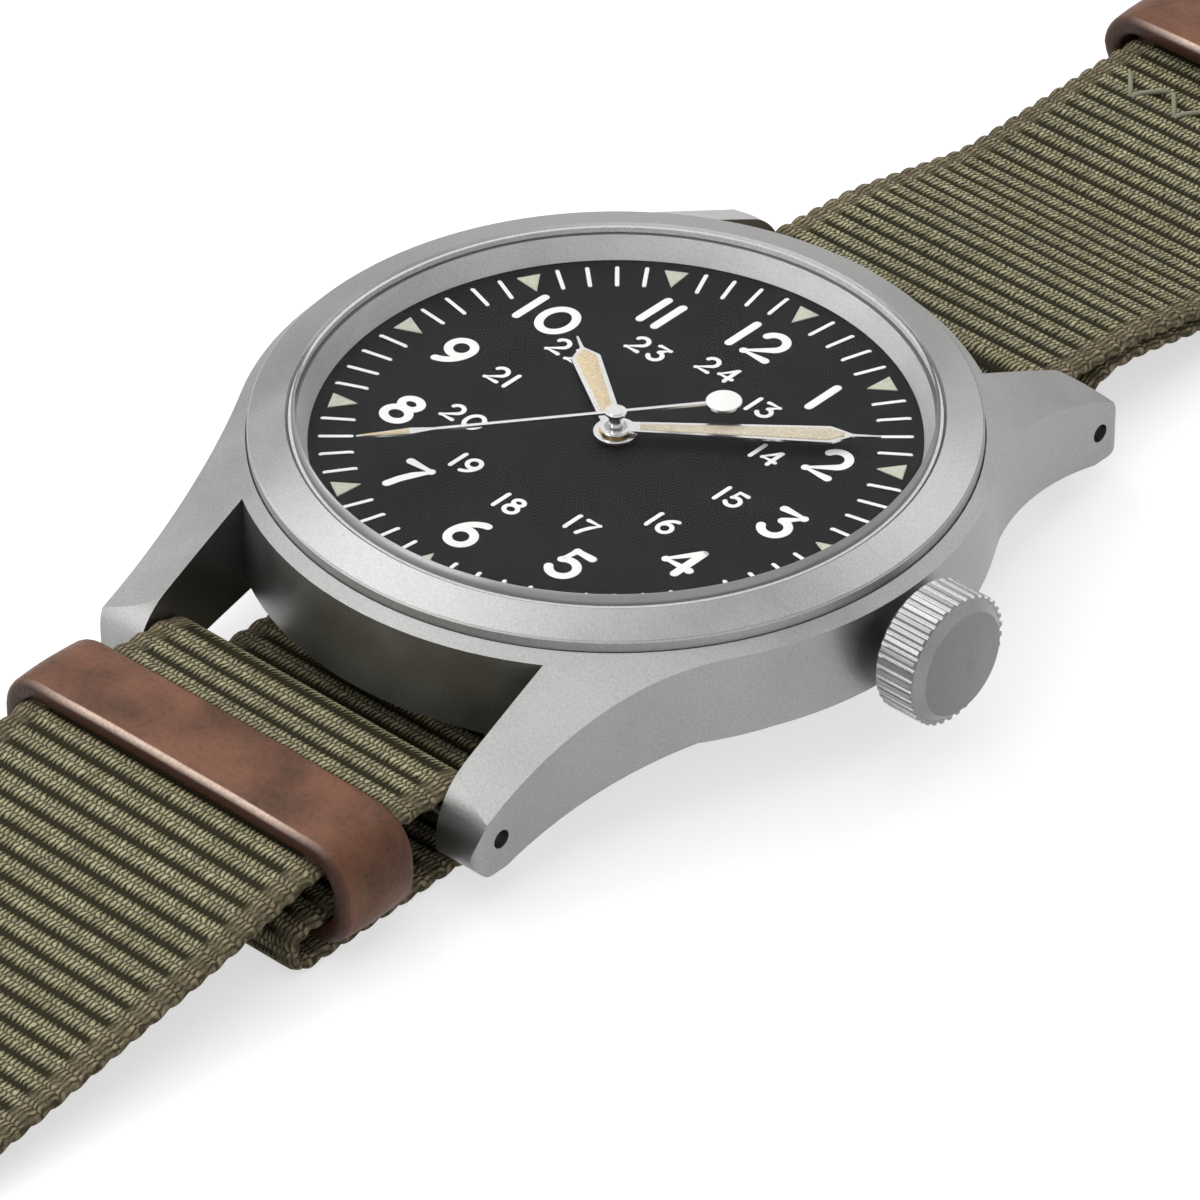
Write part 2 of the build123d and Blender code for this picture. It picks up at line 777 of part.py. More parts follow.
with BuildPart() as balance_wheel:
    with BuildSketch(level_at(balance_x, balance_y, balance_h)):
        Circle(balance_r)
        Circle(balance_r - balance_rim_w, mode=Mode.SUBTRACT)
        Rectangle(2 * balance_r - balance_rim_w, balance_arm_w)
        Rectangle(balance_arm_w, 2 * balance_r - balance_rim_w)
    extrude(amount=balance_rim_t)
    with BuildSketch(level_at(balance_x, balance_y, cock_floor_h - pivot_depth / 2)):
        Circle(pivot_r)
    extrude(amount=pivot_top_h - run_gap - cock_floor_h + pivot_depth / 2)
    with BuildSketch(level_at(balance_x, balance_y, balance_h)):
        Circle(roller_r)
    extrude(amount=escape_wheel_h - run_gap - balance_h)
save(balance_wheel, "balance_wheel")


def spiral(x, y, low_h, high_h, inner_r, outer_r, strip_t, turns):
    """A flat spiral strip between two radii about x, y."""
    steps = 12 * turns
    rates = [step / steps for step in range(steps + 1)]
    with BuildPart() as strip:
        with BuildSketch(level_at(x, y, low_h)):
            with BuildLine():
                inner = Spline(
                    *[
                        (
                            (inner_r + (outer_r - inner_r) * rate) * cos(2 * pi * turns * rate),
                            (inner_r + (outer_r - inner_r) * rate) * sin(2 * pi * turns * rate),
                        )
                        for rate in rates
                    ]
                )
                outer = Spline(
                    *[
                        (
                            (inner_r + strip_t + (outer_r - inner_r) * rate) * cos(2 * pi * turns * rate),
                            (inner_r + strip_t + (outer_r - inner_r) * rate) * sin(2 * pi * turns * rate),
                        )
                        for rate in rates
                    ]
                )
                Line(inner @ 0, outer @ 0)
                Line(inner @ 1, outer @ 1)
            make_face()
        extrude(amount=high_h - low_h)
    return strip


hairspring_turns = 7
hairspring = spiral(
    balance_x,
    balance_y,
    hairspring_h - hairspring_w,
    hairspring_h,
    hairspring_inner_r,
    hairspring_outer_r,
    2 * hairspring_t,
    hairspring_turns,
)
save(hairspring, "hairspring")

# Mainspring barrel: toothed drum and lid, with the spring and its arbor inside

barrel_tooth = 0.38
drum_r = barrel_r - barrel_tooth
drum_wall = 0.25
drum_plate_t = 0.18
barrel_rim_t = 0.2
barrel_hub_r = 0.62
barrel_arbor_r = 0.32
mainspring_t = 0.12
mainspring_turns = 9
ratchet_h = -4.35
ratchet_t = 0.3
ratchet_square = 0.42

with BuildPart() as mainspring_barrel:
    with BuildSketch(level_at(barrel_x, barrel_y, barrel_floor_h + drum_plate_t + press_gap)):
        Circle(drum_r)
    extrude(amount=barrel_top_h - barrel_floor_h - drum_plate_t - press_gap)
    with BuildSketch(level_at(barrel_x, barrel_y, barrel_top_h)):
        Circle(barrel_r)
    extrude(amount=-barrel_rim_t)
    with BuildSketch(level_at(barrel_x, barrel_y, barrel_top_h - drum_plate_t)):
        Circle(drum_r - drum_wall)
    extrude(amount=barrel_floor_h - barrel_top_h, mode=Mode.SUBTRACT)
    with BuildSketch(level_at(barrel_x, barrel_y, barrel_floor_h)):
        Circle(drum_r)
    extrude(amount=drum_plate_t)
    with BuildSketch(level_at(barrel_x, barrel_y, barrel_floor_h)):
        Circle(barrel_arbor_r + hole_gap)
    extrude(amount=barrel_top_h - barrel_floor_h, mode=Mode.SUBTRACT)
save(mainspring_barrel, "mainspring_barrel")

mainspring = spiral(
    barrel_x,
    barrel_y,
    barrel_floor_h + drum_plate_t + run_gap,
    barrel_top_h - drum_plate_t - run_gap,
    barrel_hub_r + run_gap,
    drum_r - drum_wall - mainspring_t - run_gap,
    mainspring_t,
    mainspring_turns,
)
save(mainspring, "mainspring")

barrel_arbor = wheel(
    barrel_x,
    barrel_y,
    [
        (barrel_hub_r, barrel_floor_h + drum_plate_t + run_gap, barrel_top_h - drum_plate_t - run_gap),
        (barrel_arbor_r, ratchet_h, recess_floor_h - run_gap),
    ],
)
save(barrel_arbor, "barrel_arbor")

with BuildPart() as ratchet_wheel:
    with BuildSketch(level_at(barrel_x, barrel_y, ratchet_h)):
        Circle(ratchet_r - mesh_gap / 2)
        Circle(barrel_arbor_r + press_gap, mode=Mode.SUBTRACT)
    extrude(amount=ratchet_t)
save(ratchet_wheel, "ratchet_wheel")

crown_wheel_post_r = 0.45

with BuildPart() as crown_wheel:
    with BuildSketch(level_at(crown_wheel_x, 0, ratchet_h)):
        Circle(crown_wheel_r - mesh_gap / 2)
        Circle(crown_wheel_post_r + hole_gap, mode=Mode.SUBTRACT)
    extrude(amount=ratchet_t)
save(crown_wheel, "crown_wheel")

# Bridges over the barrel and the train, cut apart along a line through the middle of the movement

bridge_cut_a = 150.0
bridge_cut_b = -31.0
bridge_seam = 0.1
centre_boss_r = 1.6
balance_room = 0.4
window_gap = 0.06


def bridge_half(start_angle, end_angle):
    """Plan of a part of the movement's disc between two angles, as a fan of straight cuts."""
    steps = 6
    angles = [start_angle + (end_angle - start_angle) * step / steps for step in range(steps + 1)]
    reach = 2 * movement_r
    with BuildSketch() as half:
        with BuildLine():
            Polyline(
                (0, 0),
                *[(reach * cos(radians(angle)), reach * sin(radians(angle))) for angle in angles],
                close=True,
            )
        make_face()
        Circle(movement_r, mode=Mode.INTERSECT)
    return half.sketch


barrel_half = bridge_half(bridge_cut_b, bridge_cut_a)
train_half = bridge_half(bridge_cut_a, bridge_cut_b + 360)

with BuildPart() as barrel_bridge:
    with BuildSketch(level(bridge_floor_h)):
        add(barrel_half)
        Circle(centre_boss_r + bridge_seam, mode=Mode.SUBTRACT)
        with Locations((barrel_x, barrel_y)):
            Circle(barrel_arbor_r + hole_gap, mode=Mode.SUBTRACT)
        with Locations(((sliding_pinion_x - sliding_travel + winding_pinion_x + winding_pinion_l) / 2, 0)):
            Rectangle(
                winding_pinion_x + winding_pinion_l - sliding_pinion_x + sliding_travel + 2 * window_gap,
                stem_slot_w,
                mode=Mode.SUBTRACT,
            )
    extrude(amount=bridge_top_h - bridge_floor_h)
    with BuildSketch(level(bridge_top_h)):
        with Locations(*[polar_place(p) for p in barrel_screw_shares]):
            Circle(pillar_r)
    extrude(amount=plate_floor_h - bridge_top_h)
    with BuildSketch(level(bridge_floor_h)):
        with Locations((crown_wheel_x, 0)):
            Circle(crown_wheel_post_r)
    extrude(amount=ratchet_h - bridge_floor_h)
    with BuildSketch(level(bridge_floor_h)):
        with Locations(*[polar_place(p) for p in barrel_screw_shares]):
            Circle(screw_r + press_gap)
    extrude(amount=plate_floor_h - bridge_floor_h, mode=Mode.SUBTRACT)
save(barrel_bridge, "barrel_bridge")

with BuildPart() as train_bridge:
    with BuildSketch(level(bridge_floor_h)):
        add(train_half)
        with Locations((balance_x, balance_y)):
            Circle(balance_r + balance_room, mode=Mode.SUBTRACT)
        with Locations(polar_place(cock_screw_share)):
            Circle(4 * pillar_r, mode=Mode.SUBTRACT)
        add(offset(barrel_half, amount=bridge_seam, mode=Mode.PRIVATE), mode=Mode.SUBTRACT)
        Circle(centre_boss_r)
        with Locations((third_x, third_y), (escape_x, escape_y), (0, 0)):
            Circle(arbor_r + hole_gap, mode=Mode.SUBTRACT)
    extrude(amount=bridge_top_h - bridge_floor_h)
    with BuildSketch(level(bridge_top_h)):
        with Locations(*[polar_place(p) for p in train_screw_shares]):
            Circle(pillar_r)
    extrude(amount=plate_floor_h - bridge_top_h)
    with BuildSketch(level(bridge_floor_h)):
        with Locations(*[polar_place(p) for p in train_screw_shares]):
            Circle(screw_r + press_gap)
    extrude(amount=plate_floor_h - bridge_floor_h, mode=Mode.SUBTRACT)
save(train_bridge, "train_bridge")

cock_t = 0.5
cock_w = 2.2
cock_x, cock_y = polar_place(cock_screw_share)

with BuildPart() as balance_cock:
    with BuildSketch(level(cock_floor_h - cock_t)):
        with Locations(((balance_x + cock_x) / 2, (balance_y + cock_y) / 2)):
            SlotCenterToCenter(
                hypot(balance_x - cock_x, balance_y - cock_y),
                cock_w,
                rotation=degrees(atan2(balance_y - cock_y, balance_x - cock_x)),
            )
        Circle(movement_r, mode=Mode.INTERSECT)
        with Locations((balance_x, balance_y)):
            Circle(pivot_r + hole_gap, mode=Mode.SUBTRACT)
    extrude(amount=cock_t)
    with BuildSketch(level(cock_floor_h)):
        with Locations((cock_x, cock_y)):
            Circle(pillar_r)
    extrude(amount=plate_floor_h - cock_floor_h)
    with BuildSketch(level(cock_floor_h - cock_t)):
        with Locations((cock_x, cock_y)):
            Circle(screw_r + press_gap)
    extrude(amount=plate_floor_h - cock_floor_h + cock_t, mode=Mode.SUBTRACT)
save(balance_cock, "balance_cock")

# Screws that hold the bridges and the cock, one group

screw_slot_w = 0.12
screw_slot_depth = 0.1
screw_reach = pillar_r - run_gap
screw_seats = [(p, bridge_floor_h) for p in (*train_screw_shares, *barrel_screw_shares)]
screw_seats.append((cock_screw_share, cock_floor_h - cock_t))

with BuildPart() as bridge_screws:
    for place, seat_h in screw_seats:
        x, y = polar_place(place)
        with BuildSketch(level_at(x, y, seat_h)):
            Circle(screw_r)
        extrude(amount=plate_floor_h - seat_h + screw_reach)
        with BuildSketch(level_at(x, y, seat_h - screw_head_t)):
            Circle(screw_head_r)
        extrude(amount=screw_head_t)
        with BuildSketch(level_at(x, y, seat_h - screw_head_t)):
            Rectangle(2 * screw_head_r, screw_slot_w)
        extrude(amount=screw_slot_depth, mode=Mode.SUBTRACT)
save(bridge_screws, "bridge_screws")

# Click: the sprung pawl that holds the ratchet wheel

click_angle = 120.0
click_pivot_r = 4.9
click_length = 2.6
click_w = 0.7
click_x = barrel_x + click_pivot_r * cos(radians(click_angle))
click_y = barrel_y + click_pivot_r * sin(radians(click_angle))
click_turn = click_angle - 90 - degrees(atan2(click_pivot_r - ratchet_r - click_w, click_length))

with BuildPart() as click:
    with BuildSketch(
        Plane(
            origin=(click_x, click_y, dial_z + bridge_floor_h - run_gap),
            x_dir=(cos(radians(click_turn)), sin(radians(click_turn)), 0),
            z_dir=(0, 0, 1),
        )
    ):
        Circle(click_w)
        with Locations((click_length / 2, 0)):
            Rectangle(click_length, click_w)
    extrude(amount=-ratchet_t)
save(click, "click")

# Motion works under the dial

motion_wheel_h = recess_floor_h + run_gap
hour_wheel_lift = 0.25
hour_wheel_h = motion_wheel_h + wheel_t + hour_wheel_lift

with BuildPart() as cannon_pinion:
    with BuildSketch(level(motion_wheel_h)):
        Circle(cannon_wheel_r)
    extrude(amount=wheel_t)
    with BuildSketch(level(motion_wheel_h)):
        Circle(cannon_r)
    extrude(amount=minute_hand_h + hand_t - motion_wheel_h)
    with BuildSketch(level(motion_wheel_h)):
        Circle(cannon_bore_r)
    extrude(amount=minute_hand_h + hand_t - motion_wheel_h, mode=Mode.SUBTRACT)
save(cannon_pinion, "cannon_pinion")

with BuildPart() as minute_wheel:
    with BuildSketch(level_at(minute_x, minute_y, motion_wheel_h)):
        Circle(minute_wheel_r)
    extrude(amount=wheel_t)
    with BuildSketch(level_at(minute_x, minute_y, motion_wheel_h)):
        Circle(minute_pinion_r)
    extrude(amount=hour_wheel_h + wheel_t - motion_wheel_h)
    with BuildSketch(level_at(minute_x, minute_y, motion_wheel_h)):
        Circle(post_r + hole_gap)
    extrude(amount=hour_wheel_h + wheel_t - motion_wheel_h, mode=Mode.SUBTRACT)
save(minute_wheel, "minute_wheel")

with BuildPart() as hour_wheel:
    with BuildSketch(level(hour_wheel_h)):
        Circle(hour_wheel_r)
    extrude(amount=wheel_t)
    with BuildSketch(level(hour_wheel_h)):
        Circle(hour_pipe_r)
    extrude(amount=hour_hand_h + hand_t - hour_wheel_h)
    with BuildSketch(level(hour_wheel_h)):
        Circle(hour_pipe_bore_r)
    extrude(amount=hour_hand_h + hand_t - hour_wheel_h, mode=Mode.SUBTRACT)
save(hour_wheel, "hour_wheel")

with BuildPart() as setting_wheel:
    with BuildSketch(level_at(setting_wheel_x, setting_wheel_y, motion_wheel_h)):
        Circle(setting_wheel_r)
        Circle(post_r + hole_gap, mode=Mode.SUBTRACT)
    extrude(amount=wheel_t)
save(setting_wheel, "setting_wheel")

# Keyless works and crown

crown_stand_off = 0.62
crown_inner_x = case_r + crown_stand_off
crown_collar_l = 0.4
crown_knurl_l = 2.1
crown_chamfer_l = 0.45
crown_dome = 0.28
crown_collar_r = 2.94
crown_face_r = 2.75
crown_flute_r = 0.19
crown_flute_count = 36
crown_core_step = 0.23
crown_core_r = crown_r - crown_core_step
crown_skirt_bore_r = tube_r + run_gap
crown_gasket_inset = 0.48
crown_gasket_x = crown_inner_x + crown_gasket_inset
crown_gasket_w = 0.5
crown_gasket_t = 0.4
crown_floor_x = tube_outer_x + crown_pull / 2

with BuildPart() as winding_pinion:
    with BuildSketch(stem_plane(winding_pinion_x)):
        Circle(pinion_r)
        Circle(stem_r + press_gap, mode=Mode.SUBTRACT)
    extrude(amount=winding_pinion_l)
save(winding_pinion, "winding_pinion")

sliding_groove_r = 0.95
with BuildPart() as sliding_pinion:
    with BuildSketch(stem_plane(sliding_pinion_x)):
        Circle(pinion_r)
    extrude(amount=sliding_pinion_l)
    with BuildSketch(stem_plane(yoke_pin_x - stem_groove_w / 2)):
        Circle(pinion_r)
        Circle(sliding_groove_r, mode=Mode.SUBTRACT)
    extrude(amount=stem_groove_w, mode=Mode.SUBTRACT)
    with BuildSketch(stem_plane(sliding_pinion_x)):
        Rectangle(square_w + 2 * press_gap, square_w + 2 * press_gap)
    extrude(amount=sliding_pinion_l, mode=Mode.SUBTRACT)
save(sliding_pinion, "sliding_pinion")

with BuildPart() as winding_stem:
    with BuildSketch(stem_plane(stem_inner_x)):
        Rectangle(square_w, square_w)
    extrude(amount=winding_pinion_x - stem_inner_x)
    with BuildSketch(stem_plane(winding_pinion_x)):
        Circle(stem_r)
    extrude(amount=crown_floor_x - winding_pinion_x)
    with BuildSketch(stem_plane(stem_groove_x - stem_groove_w / 2)):
        Circle(stem_r)
        Circle(stem_groove_r, mode=Mode.SUBTRACT)
    extrude(amount=stem_groove_w, mode=Mode.SUBTRACT)
save(winding_stem, "winding_stem")

with BuildPart() as crown:
    with BuildSketch(Plane.XZ):
        with BuildLine():
            rim = Polyline(
                (crown_floor_x, dial_z + stem_h),
                (crown_floor_x, dial_z + stem_h + crown_skirt_bore_r),
                (crown_gasket_x + crown_gasket_w, dial_z + stem_h + crown_skirt_bore_r),
                (crown_gasket_x + crown_gasket_w, dial_z + stem_h + crown_skirt_bore_r + crown_gasket_t),
                (crown_gasket_x, dial_z + stem_h + crown_skirt_bore_r + crown_gasket_t),
                (crown_gasket_x, dial_z + stem_h + crown_skirt_bore_r),
                (crown_inner_x, dial_z + stem_h + crown_skirt_bore_r),
                (crown_inner_x, dial_z + stem_h + crown_collar_r),
                (crown_inner_x + crown_collar_l, dial_z + stem_h + crown_r),
                (crown_inner_x + crown_collar_l + crown_knurl_l, dial_z + stem_h + crown_r),
                (crown_inner_x + crown_collar_l + crown_knurl_l, dial_z + stem_h + crown_core_r),
                (
                    crown_inner_x + crown_collar_l + crown_knurl_l + crown_chamfer_l,
                    dial_z + stem_h + crown_face_r,
                ),
            )
            face_x = crown_inner_x + crown_collar_l + crown_knurl_l + crown_chamfer_l
            dome = TangentArc((face_x + crown_dome, dial_z + stem_h), rim @ 1, tangent=(0, 1))
            Line(dome @ 0, rim @ 0)
        make_face()
    revolve(axis=Axis((0, 0, dial_z + stem_h), (1, 0, 0)))
    with BuildSketch(stem_plane(crown_inner_x)):
        with PolarLocations(crown_r, crown_flute_count):
            Circle(crown_flute_r)
    extrude(amount=crown_collar_l + crown_knurl_l + crown_chamfer_l, mode=Mode.SUBTRACT)
save(crown, "crown")

with BuildPart() as crown_gasket:
    with BuildSketch(stem_plane(crown_gasket_x)):
        Circle(crown_skirt_bore_r + crown_gasket_t - press_gap)
        Circle(tube_r + press_gap, mode=Mode.SUBTRACT)
    extrude(amount=crown_gasket_w - press_gap)
save(crown_gasket, "crown_gasket")


def keyless_lever(pivot, pin, pin_foot_h):
    """A flat lever under the dial, with a pivot pin at one end and a driving pin at the other."""
    length = hypot(pin[0] - pivot[0], pin[1] - pivot[1])
    turn = degrees(atan2(pin[1] - pivot[1], pin[0] - pivot[0]))
    lever_h = plate_top_h - lever_recess + run_gap
    with BuildPart() as lever:
        with BuildSketch(level(lever_h)):
            with Locations(((pivot[0] + pin[0]) / 2, (pivot[1] + pin[1]) / 2)):
                SlotCenterToCenter(length, lever_w, rotation=turn)
        extrude(amount=plate_top_h - run_gap - lever_h)
        with BuildSketch(level(lever_h)):
            with Locations(pivot):
                Circle(lever_pin_r)
        extrude(amount=plate_floor_h + run_gap - lever_h)
        with BuildSketch(level(lever_h)):
            with Locations(pin):
                Circle(lever_pin_r)
        extrude(amount=pin_foot_h - lever_h)
    return lever


setting_lever = keyless_lever((lever_x, lever_arm), (stem_groove_x, 0), stem_h + stem_groove_r + run_gap)
save(setting_lever, "setting_lever")
yoke = keyless_lever((yoke_x, -yoke_arm), (yoke_pin_x, 0), stem_h + sliding_groove_r + run_gap)
save(yoke, "yoke")

# Hands at about 10:08:37, each on its own pipe

hour_angle = 304.3
minute_angle = 51.7
seconds_angle = 218.6

hour_hub_r = 1.12
hour_hub_w = 1.0
hour_shoulder_w = 1.5
hour_tip = 8.3
hour_needle_l = 1.0
hour_needle = hour_tip - hour_needle_l
hour_taper_l = 0.8
hour_shoulder = hour_needle - hour_taper_l
minute_hub_r = 0.76
minute_hub_w = 0.75
minute_shoulder_w = 1.36
minute_tip_gap = 2.3
minute_tip = dial_r - minute_tip_gap
minute_needle_l = 1.4
minute_needle = minute_tip - minute_needle_l
minute_taper_l = 1.1
minute_shoulder = minute_needle - minute_taper_l
seconds_hub_r = 0.55
seconds_w = 0.2
seconds_spear_w = 0.5
seconds_tip_gap = 2.5
seconds_tip = dial_r - seconds_tip_gap
seconds_spear_l = 2.7
seconds_shoulder = seconds_tip - seconds_spear_l
seconds_flare_l = 1.1
seconds_spear = seconds_shoulder - seconds_flare_l
seconds_tail = 6.3
seconds_disc_r = 0.9
seconds_pipe_r = 0.36
needle_w = 0.2
cap_r = 0.4


def hand_plane(angle, height):
    """The plane of a hand at a clock angle, its x along the hand."""
    return Plane(
        origin=(0, 0, dial_z + height),
        x_dir=(sin(radians(angle)), cos(radians(angle)), 0),
        z_dir=(0, 0, 1),
    )


def tapered_hand(angle, height, hub_r, bore_r, stations):
    """A flat hand with a round hub and an outline through (distance, width) stations."""
    right = [(reach, width / 2) for reach, width in stations]
    left = [(reach, -width / 2) for reach, width in reversed(stations)]
    with BuildPart() as hand:
        with BuildSketch(hand_plane(angle, height)):
            Circle(hub_r)
            with BuildLine():
                Polyline(*right, *left, close=True)
            make_face()
            Circle(bore_r, mode=Mode.SUBTRACT)
        extrude(amount=hand_t)
    return hand


hour_hand = tapered_hand(
    hour_angle,
    hour_hand_h,
    hour_hub_r,
    hour_pipe_r + press_gap,
    [
        (0, hour_hub_w),
        (hour_shoulder, hour_shoulder_w),
        (hour_needle, needle_w),
        (hour_tip, needle_w / 2),
    ],
)
save(hour_hand, "hour_hand")

minute_hand = tapered_hand(
    minute_angle,
    minute_hand_h,
    minute_hub_r,
    cannon_r + press_gap,
    [
        (0, minute_hub_w),
        (minute_shoulder, minute_shoulder_w),
        (minute_needle, needle_w),
        (minute_tip, needle_w / 2),
    ],
)
save(minute_hand, "minute_hand")

with BuildPart() as seconds_hand:
    with BuildSketch(hand_plane(seconds_angle, seconds_hand_h)):
        Circle(seconds_hub_r)
        with BuildLine():
            Polyline(
                (-seconds_tail, seconds_w / 2),
                (seconds_spear, seconds_w / 2),
                (seconds_shoulder, seconds_spear_w / 2),
                (seconds_tip, needle_w / 4),
                (seconds_tip, -needle_w / 4),
                (seconds_shoulder, -seconds_spear_w / 2),
                (seconds_spear, -seconds_w / 2),
                (-seconds_tail, -seconds_w / 2),
                close=True,
            )
        make_face()
        with Locations((seconds_disc_r - seconds_tail, 0)):
            Circle(seconds_disc_r)
    extrude(amount=hand_t)
    with BuildSketch(hand_plane(seconds_angle, seconds_hand_h)):
        Circle(cap_r)
    extrude(amount=seconds_cap_h - seconds_hand_h)
    with BuildSketch(hand_plane(seconds_angle, minute_hand_h + hand_t + run_gap)):
        Circle(seconds_pipe_r)
    extrude(until=Until.NEXT)
    with BuildSketch(hand_plane(seconds_angle, minute_hand_h)):
        Circle(seconds_arbor_r + press_gap)
    extrude(amount=seconds_hand_h + hand_t - minute_hand_h, mode=Mode.SUBTRACT)
save(seconds_hand, "seconds_hand")

# Spring bars: tubes crimped over sprung tips that seat in the lug holes

bar_r = 0.85
bar_wall = 0.17
bar_bore_r = bar_r - bar_wall
bar_end_gap = 0.3
bar_end_x = lug_gap / 2 - bar_end_gap
bar_end_t = 0.3
tip_collar_r = bar_bore_r - hole_gap
tip_collar_l = 1.2
tip_travel = 2.0
tip_end_x = lug_gap / 2 + tip_travel
tip_gap = 0.02

with BuildPart() as spring_bar_tubes:
    for side in (1, -1):
        with BuildSketch(Plane.YZ.offset(-bar_end_x)):
            with Locations((side * bar_y, bar_z)):
                Circle(bar_r)
                Circle(bar_tip_r + tip_gap, mode=Mode.SUBTRACT)
        extrude(amount=2 * bar_end_x)
        with BuildSketch(Plane.YZ.offset(bar_end_t - bar_end_x)):
            with Locations((side * bar_y, bar_z)):
                Circle(bar_bore_r)
        extrude(amount=2 * (bar_end_x - bar_end_t), mode=Mode.SUBTRACT)
save(spring_bar_tubes, "spring_bar_tubes")


def spring_bar_tip(side_x, side_y):
    """A stepped pin whose nose stands out of the tube into the lug hole."""
    collar_x = bar_end_x - bar_end_t - press_gap
    with BuildPart() as tip:
        with BuildSketch(Plane.YZ.offset(side_x * collar_x)):
            with Locations((side_y * bar_y, bar_z)):
                Circle(tip_collar_r)
        extrude(amount=-side_x * tip_collar_l)
        with BuildSketch(Plane.YZ.offset(side_x * collar_x)):
            with Locations((side_y * bar_y, bar_z)):
                Circle(bar_tip_r)
        extrude(amount=side_x * (tip_end_x - collar_x))
    return tip


tip_names = {
    (1, 1): "spring_bar_tip_12_right",
    (-1, 1): "spring_bar_tip_12_left",
    (1, -1): "spring_bar_tip_6_right",
    (-1, -1): "spring_bar_tip_6_left",
}
for (side_x, side_y), name in tip_names.items():
    save(spring_bar_tip(side_x, side_y), name)

bar_spring_r = tip_collar_r - hole_gap
bar_spring_wire = 0.15
bar_spring_bore_r = bar_spring_r - bar_spring_wire
bar_spring_x = bar_end_x - bar_end_t - tip_collar_l - 2 * press_gap

with BuildPart() as spring_bar_springs:
    for side in (1, -1):
        with BuildSketch(Plane.YZ.offset(-bar_spring_x)):
            with Locations((side * bar_y, bar_z)):
                Circle(bar_spring_r)
                Circle(bar_spring_bore_r, mode=Mode.SUBTRACT)
        extrude(amount=2 * bar_spring_x)
save(spring_bar_springs, "spring_bar_springs")

# Strap: one webbing band that passes over both bars and under the case, in three stretches

hinge_split = 0.9
wrap_r = bar_r + 2 * layer_gap
wrap_top_z = bar_z + wrap_r
under_z = webbing_t + layer_gap
rise_6_r = 2.2
rise_12_r = 1.0
ramp_r = 6.6
bend_r = 12.0

# Places along the strap, as reaches from the spring bar or from the last place
ramp_start_reach = 4.88
ramp_end_reach = 4.62
ramp_end_drop = 0.19
ramp_start_y = bar_y - ramp_start_reach
ramp_end_y = bar_y + ramp_end_reach
ramp_end_z = bar_z - ramp_end_drop
keeper_reach = 4.42
keeper_w = 4.8
keeper_r = 1.9
keeper_side_gap = 0.6
keeper_rise = 6.2
keeper_gap = 0.05
keeper_slack = 0.7
keeper_crest = 0.44
keeper_y = bar_y + keeper_reach
keeper_outer_x = webbing_w / 2 + keeper_side_gap + leather_t
keeper_fold_l = 2.2
keeper_fold_y = keeper_y + keeper_w + keeper_fold_l
keeper_sewn_l = 1.1
keeper_fold_back_y = keeper_sewn_l - keeper_y

tail_l = 149.82
tail_landing_reach = 40.82
slope_reach = 27.82
slope_z = 1.7
droop_reach = 15.82
droop_drop = 0.96
crest_reach = 9.32
tail_y = bar_y + tail_l
tail_points = [
    (-tail_y, 0),
    (-(bar_y + tail_landing_reach), 0),
    (-(bar_y + slope_reach), slope_z),
    (-(bar_y + droop_reach), wrap_top_z - droop_drop),
    (-(bar_y + crest_reach), wrap_top_z + keeper_crest),
    (-(bar_y + hinge_split), wrap_top_z),
]
tail_radii = [5 * bend_r, 6 * bend_r, 5 * bend_r, bend_r]

descent_reach = 6.82
descent_drop = 0.46
joined_reach = 15.82
fixed_keeper_reach = 29.32
underlay_overlap = 2.1
fold_gap = 3.6
buckle_reach = 75.82
free_keeper_reach = 20.0
descent_y = bar_y + descent_reach
descent_z = wrap_top_z - descent_drop
joined_y = bar_y + joined_reach
fixed_keeper_y = bar_y + fixed_keeper_reach
underlay_end_y = fixed_keeper_y + keeper_w + underlay_overlap
fold_end_y = underlay_end_y + fold_gap
buckle_y = bar_y + buckle_reach
free_keeper_y = buckle_y - free_keeper_reach

buckle_flare = 6.0
buckle_bar_r = 0.75
fold_lift = 0.12
buckle_fold_r = buckle_bar_r + layer_gap
buckle_bar_z = buckle_fold_r + webbing_t + fold_lift
tongue_slot_w = 3.0
tongue_slot_back = 6.0
tongue_slot_front = 3.0

ramp_slope = ramp_end_z / (ramp_end_y - ramp_start_y)
ramp_lift = under_z * sqrt(1 + ramp_slope**2)
ramp_corner_y = ramp_start_y - (ramp_lift - under_z) / ramp_slope


def band(points, radii, thickness, width):
    """A strip of webbing: the side view follows points with rounded corners, thickness to its left."""
    with BuildPart() as strip:
        with BuildSketch(Plane.YZ):
            with BuildLine():
                FilletPolyline(*points, radius=radii)
                offset(amount=thickness, side=Side.LEFT, closed=True)
            make_face()
        extrude(amount=width / 2, both=True)
    return strip


wrap_corner_y = bar_y - wrap_r
webbing_middle = band(
    [
        (-bar_y, wrap_top_z),
        (-wrap_corner_y, wrap_top_z),
        (-wrap_corner_y, under_z),
        (ramp_corner_y, under_z),
        (wrap_corner_y, under_z + (wrap_corner_y - ramp_corner_y) * ramp_slope),
        (wrap_corner_y, wrap_top_z),
        (bar_y, wrap_top_z),
    ],
    [wrap_r - press_gap, rise_6_r, ramp_r - under_z, rise_12_r, wrap_r - press_gap],
    webbing_t,
    webbing_w,
)
save(webbing_middle, "webbing_middle")

tail_hole_count = 9
tail_hole_step = 7.0
tail_hole_start = 32.0
tail_hole_r = 1.1
tail_corner_r = 8.0

